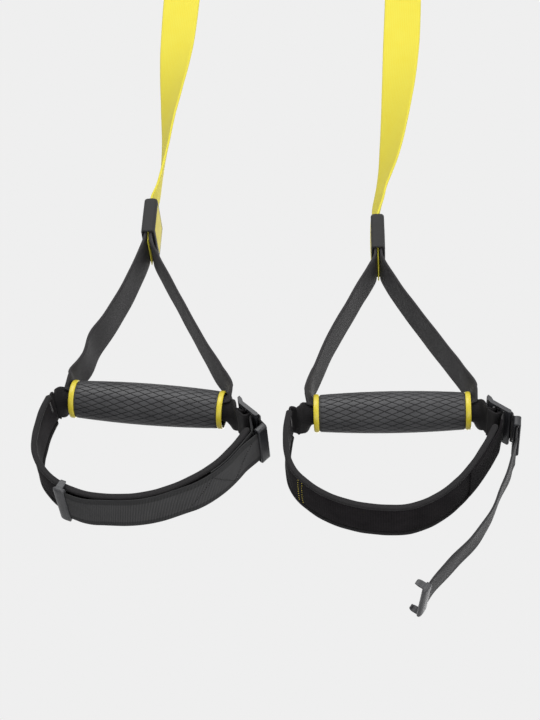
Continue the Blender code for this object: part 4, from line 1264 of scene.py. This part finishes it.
def band_stitches(side, pad):
    """Short rows of thread across the outer face, and the tack at the band's left end."""
    half_stitch, tack_from, tack_to, tack_lean = 0.0007, 0.0028, 0.0056, 0.0008
    rows = []
    for along, low, high in details[side]["band_rows"]:
        for across in np.linspace(low, high, 10):
            rows.append([(along - half_stitch, across), (along + half_stitch, across)])
    stitches(side, "band_rows", "cradle", pad, rows, details[side]["row_look"], pitch=0.0016, share=0.95,
             radius=0.00027)
    tack_places = np.arange(9) * 0.0016 - 0.0150
    tack = [[(tack_from, across), (tack_to, across + tack_lean)] for across in tack_places]
    stitches(side, "band_tack", "cradle", pad, tack, "grey_thread", pitch=0.0030, share=0.95, face=-1)


def cradle_strap(side, place, grip_frame, pad_path):
    """The webbing through the grip that carries the band."""
    loop = Ribbon(side + "_cradle_strap", cradle_stations(place, pad_path), strap_width, cradle_thickness,
                  "loop", 0.0010, world=grip_frame, ripple=0.00010)
    settle(loop.piece, side, "cradle", "black_webbing", "cradle_webbing")


# Adjusting straps and tails


def firm_rim(breadth):
    """1 on the selvedges and 0 between them."""
    return np.clip((np.abs(breadth) - (strap_width / 2 - selvedge)) / 0.0012, 0.0, 1.0)


def fine_relief(length, breadth, face):
    """A fine weave and a firmer selvedge."""
    rim = firm_rim(breadth)
    return 0.00003 * np.sin(length * 2 * pi / weave_pitch) * (1 - rim) + 0.00010 * rim - 0.00010


def rib_relief(length, breadth, face):
    """Broad slanting ribs that draw together towards the tail's end, a fine weave and a firmer selvedge."""
    spread, narrowing, last = 0.00608, 0.0173, 0.30
    ribs_begin, ribs_over = 0.140, 0.020
    most_slant, least_slant, slant_ends = 0.45, 0.15, 0.155
    slant = np.clip(most_slant - (length - slant_ends) * 4.0, least_slant, most_slant)
    cycles = -np.log(spread - narrowing * np.clip(length - slant * breadth, 0.0, last)) / narrowing
    begun = np.clip((length - ribs_begin) / ribs_over, 0.0, 1.0)
    broad = 0.00022 * np.sin(2 * pi * cycles) * begun
    fine = 0.00005 * np.sin(length * 2 * pi / weave_pitch)
    rim = firm_rim(breadth)
    return (broad + fine) * (1 - rim) + 0.00006 * rim - 0.00016


def sewn_relief(length, breadth, face):
    """As the fine weave, but the sewn end thins out against the band."""
    plain = fine_relief(length, breadth, face)
    if face > 0:
        return plain
    brushed_face = 0.00012 * np.sin(length * 95.0 + breadth * 120.0)
    thin = -0.0004 * np.clip(1 - length / 0.012, 0.0, 1.0)
    return np.where(length < 0.050, brushed_face + thin - 0.0002, plain)


def sunk_start(path, pad_path):
    """The sewn end beds into the band's soft face and comes up out of it."""
    bed, run = 0.0015, 0.045
    nearest = min(pad_path, key=lambda spot: (spot - path[0]).length)
    hand = 1 if outward(path[1] - path[0]).dot(path[0] - nearest) > 0 else -1
    moved = []
    for spot, ahead, reached in zip(path, tangents(path), travelled(path)):
        depth = bed * max(0.0, 1 - reached / run)
        moved.append(spot - outward(ahead) * (hand * depth))
    return moved


def cover_start(strap, reach):
    """The sewn stretch is covered by the band's own brushed face."""
    mesh = strap.piece.data
    mesh.materials.append(looks["pile"])
    cloth = np.zeros(len(mesh.vertices) * 3, np.float32)
    mesh.attributes["cloth"].data.foreach_get("vector", cloth)
    along = cloth[::3]
    for face in mesh.polygons:
        if max(along[v] for v in face.vertices) < reach:
            face.material_index = 1


def stowed_tail(side, place, grip_frame, pad_path):
    """The adjusting strap with its ribbed tail laid back along the band; gives its clip's place and body."""
    path = curve_through(adjuster_path(place, pad_path) + stowed_path(pad_path), strap_width / 6)
    path = straight_end(path)
    strap = Ribbon(side + "_adjusting_strap", flat_stations(path), strap_width, tail_thickness, "tail",
                   tail_spacing, world=grip_frame, columns=20, relief=rib_relief, ripple=0.00010)
    settle(strap.piece, side, "cradle", "black_webbing", "adjuster_webbing")
    zigzag = [(0.1085, -0.0130), (0.1335, 0.0145), (0.1550, -0.0130), (0.1780, 0.0100)]
    stitches(side, "tail_zigzag", "cradle", strap, [zigzag], "dark_thread", pitch=0.0024, share=0.62,
             radius=0.00044, face=-1, lift=0.00008)
    return clip_frame(path, grip_frame), "cradle"


def hanging_tail(side, place, grip_frame, pad_path):
    """The adjusting strap and its free end, which hangs from the keeper; gives its clip's place and body."""
    sewn_reach = 0.060
    path = sunk_start(curve_through(adjuster_path(place, pad_path), strap_width / 6), pad_path)
    strap = Ribbon(side + "_adjusting_strap", flat_stations(path), strap_width, tail_thickness, "tail",
                   tail_spacing, world=grip_frame, relief=sewn_relief, ripple=0.0)
    cover_start(strap, sewn_reach)
    settle(strap.piece, side, "cradle", "black_webbing", "adjuster_webbing")
    up = keeper_axis(place)[1]
    stations = tail_stations(place, path[-1] - up * tail_hinge_gap)
    stations = [(path[-1], *stations[0][1:])] + stations
    tail = Ribbon(side + "_hanging_tail", stations, strap_width, tail_thickness, "tail", tail_spacing,
                  world=grip_frame, relief=fine_relief, ripple=0.00060)
    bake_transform(tail.piece)
    settle(tail.piece, side, None, "black_webbing", "free_tail")
    turned = Matrix.Rotation(place["tail_turn"], 4, "Z")
    return clip_frame([station[0] for station in stations], grip_frame) @ turned, "tail"


# Clips and keepers


def superellipse(angle, power):
    """How far out a rounded square's point lies along one axis, as a share."""
    value = cos(angle)
    return abs(value) ** (2 / power) * (1 if value > 0 else -1)


def rounded_bar(name, half_x, half_y, half_z, end, look, around=36, steps=7):
    """A bar along Y: one long edge is a full round, the other nearly square, and the ends are domed."""
    square, full_round = 9.0, 2.3
    places = [-half_y + end * (1 - cos(radians(90 * k / steps))) for k in range(steps + 1)]
    places += [0.0] + [-y for y in places[::-1]]
    rings = []
    for y in places:
        depth = max(abs(y) - (half_y - end), 0.0) / end
        size = max(1 - depth ** 2.2, 0.0) ** 0.5 * 0.97 + 0.03
        ring = []
        for step in range(around):
            angle = 2 * pi * step / around
            power = square if sin(angle) > 0 else full_round
            ring.append((half_x * size ** 0.8 * superellipse(angle, power), y,
                         half_z * size ** 0.5 * superellipse(angle - pi / 2, power)))
        rings.append(ring)
    return loft(name, rings, look)


def hook(name, hand, look):
    """A lip that runs back from the bar's end and turns in behind the band's edge."""
    reach, wall = clip_width / 2, clip_wall * 0.82
    back = -(clip_depth / 2 + binding_thickness + 2 * gap + wall / 2)
    route = [(0.0, reach - 0.0028), (-0.0009, reach - wall * 0.62), (back * 0.5, reach - wall * 0.55),
             (back + 0.0010, reach - wall * 0.55), (back + 0.0003, reach - wall * 0.9),
             (back + 0.0001, reach - wall * 1.3), (back + 0.0003, reach - wall * 2.0)]
    route = smooth_path([(x, hand * y, 0) for x, y in route], 22)
    section = rounded_ring(wall / 2, clip_height * 0.30, wall * 0.42, 3, 3, 1)
    rings = []
    for i, (spot, ahead) in enumerate(zip(route, tangents(route))):
        out = Vector((-ahead.y, ahead.x, 0))
        tip = 1 - 0.45 * max(0.0, (i / (len(route) - 1) - 0.55) / 0.45) ** 2
        rings.append([spot + out * x + Vector((0, 0, z * tip)) for x, z in section])
    return loft(name, rings, look)


def merged(name, base, joined, cut_away):
    """The base with pieces joined to it and others cut from it, as one mesh."""
    for operation, others in (("UNION", joined), ("DIFFERENCE", cut_away)):
        for other in others:
            change = base.modifiers.new(operation, "BOOLEAN")
            change.operation = operation
            change.object = other
    bpy.context.view_layer.update()
    mesh = bpy.data.meshes.new_from_object(base.evaluated_get(bpy.context.evaluated_depsgraph_get()))
    for item in [base] + joined + cut_away:
        bpy.data.objects.remove(item)
    mesh.name = name
    return smooth_by_angle(in_scene(name, mesh), 40)


def clip_piece(side, place, body):
    """The tail's end clip: a rounded bar with a pocket for the tail and a hook at each end."""
    bar = rounded_bar("bar", clip_depth / 2 + 0.0002, clip_width / 2, clip_height / 2, 0.0030, "clip")
    hooks = [hook("hook", hand, "clip") for hand in (-1, 1)]
    half_x, half_y = tail_thickness / 2 + gap * 0.7, strap_width / 2 + gap
    rings = [level_ring(half_x, half_y, gap, z) for z in (-clip_height / 4, clip_height)]
    pocket = loft("pocket", rings, "clip")
    made = merged(side + "_end_clip", bar, hooks, [pocket])
    made.matrix_world = place
    settle(made, side, body, "black_plastic", "tail_clip")


def keeper_piece(side, place, grip_frame):
    """The loop keeper: a rounded outside, a slot through it and softened rims."""
    middle, up = keeper_axis(place)
    half_x, half_y, half_z = keeper_depth / 2, keeper_width / 2, keeper_height / 2
    corner, edge = 0.0021, 0.0011
    upper = []
    for angle in range(0, 91, 18):
        inset, drop = rounding(angle, edge)
        upper.append((half_x - inset, half_y - inset, corner - inset * 0.5, half_z - drop))
    lower = [(x, y, bend, -z) for x, y, bend, z in upper[::-1]]
    waist = (half_x - edge * 0.12, half_y - edge * 0.06, corner, 0.0)
    slot_x, slot_y = tail_thickness / 2 + gap, half_y - keeper_wall * 1.1
    rim, wall = half_z - gap * 0.3, half_z - gap * 2
    inside = []
    for z, spread in ((-rim, gap), (-wall, 0.0), (wall, 0.0), (rim, gap)):
        inside.append((slot_x + spread, slot_y + spread, gap + spread, z))
    rings = [level_ring(*ring) for ring in [*upper, waist, *lower, *inside]]
    world = frame_along(middle, -up, grip_frame)
    made = loft(side + "_tail_keeper", rings, "plastic", closed=True, world=world)
    settle(smooth_by_angle(made, 60), side, "keeper", "black_plastic", "loop_keeper")


def dress(side, place):
    """Everything that hangs from one carabiner."""
    sleeve, grip_frame = side_frames(place)
    pad_path = pad_line(place)
    load_strap(side, place, sleeve)
    sleeve_case(side, sleeve)
    sleeve_panel(side, place["panel_side"], sleeve)
    handle_strap(side, place, sleeve, grip_frame)
    grip_pieces(side, grip_frame)
    pad = padded_band(side, grip_frame, pad_path)
    cradle_strap(side, place, grip_frame, pad_path)
    tail = hanging_tail if place["tail_shares"] else stowed_tail
    clip_piece(side, *tail(side, place, grip_frame, pad_path))
    band_stitches(side, pad)
    finish_node(side + "_ladder_buckle", "plastic", edge=0.0005)
    finish_node(side + "_buckle_pin", "steel")
    keeper_piece(side, place, grip_frame)
    for node in ("carabiner_frame", "carabiner_gate", "gate_rivet"):
        finish_node(f"{side}_{node}", "steel")


dress("left", sides["left"])
dress("right", sides["right"])

# Stage, light and camera

world = bpy.data.worlds.new("studio")
bpy.context.scene.world = world
world.use_nodes = True
sky = world.node_tree
sky.nodes.clear()
paths = add(sky, "LightPath").outputs
seen = math(sky, "MAXIMUM", paths["Is Camera Ray"], paths["Is Transmission Ray"])
seen = math(sky, "MAXIMUM", seen, paths["Is Glossy Ray"])
shown = add(sky, "Background", {"Color": (0.863, 0.863, 0.863, 1.0), "Strength": 1.0}).outputs[0]
lit = add(sky, "Background", {"Color": (1.0, 1.0, 1.0, 1.0), "Strength": 0.31}).outputs[0]
add(sky, "OutputWorld", {"Surface": add(sky, "MixShader", {0: seen, 1: lit, 2: shown}).outputs[0]})

aim = Vector((0.0, 0.0, -0.62))
for light_name, light_place, light_size, power in (
        ("key", (-0.55, -1.95, 0.5), (1.6, 1.6), 26), ("fill", (1.6, -1.5, -0.9), (1.8, 1.8), 15),
        ("rim", (0.4, 1.6, 0.3), (1.6, 1.2), 14), ("low", (0.2, -0.7, -1.8), (1.2, 0.8), 3)):
    light = bpy.data.lights.new(light_name, "AREA")
    light.shape = "RECTANGLE"
    light.size, light.size_y = light_size
    light.energy = power
    lamp = in_scene(light_name, light)
    lamp.location = light_place
    lamp.rotation_euler = (aim - Vector(light_place)).to_track_quat("-Z", "Y").to_euler()

floor_size, floor_drop = 9.0, -2.05
floor_signs = ((-1, -1), (1, -1), (1, 1), (-1, 1))
floor_corners = [(x * floor_size, y * floor_size, floor_drop) for x, y in floor_signs]
floor_mesh = bpy.data.meshes.new("floor")
floor_mesh.from_pydata(floor_corners, [], [(0, 1, 2, 3)])
floor = in_scene("floor", floor_mesh)
floor_material, floor_tree, floor_shader = make_material("floor", 0.9, specular=0.1)
clouds = add(floor_tree, "TexNoise", {"Scale": 3.0, "Detail": 2.0}).outputs["Fac"]
finish(floor_tree, floor_shader, ramp(floor_tree, clouds, 0.3, (0.84, 0.84, 0.84), 0.7, (0.87, 0.87, 0.87)))
floor_shader.inputs["Emission Color"].default_value = (0.9, 0.9, 0.9, 1.0)
glow = math(floor_tree, "MULTIPLY", add(floor_tree, "LightPath").outputs["Is Camera Ray"], 0.55)
floor_tree.links.new(glow, floor_shader.inputs["Emission Strength"])
floor_mesh.materials.append(floor_material)

camera_lift, camera_distance = radians(38), 1.5
sight = Vector((0.0, cos(camera_lift), sin(camera_lift)))
camera_data = bpy.data.cameras.new("camera")
camera_data.sensor_width = 36.0
camera_data.lens = 85.2
camera_data.clip_start = 0.05
camera_data.clip_end = 50.0
camera = in_scene("camera", camera_data)
camera.location = aim - sight * camera_distance
camera.rotation_euler = sight.to_track_quat("-Z", "Y").to_euler()
bpy.context.scene.camera = camera
bpy.context.scene.view_settings.view_transform = "Standard"
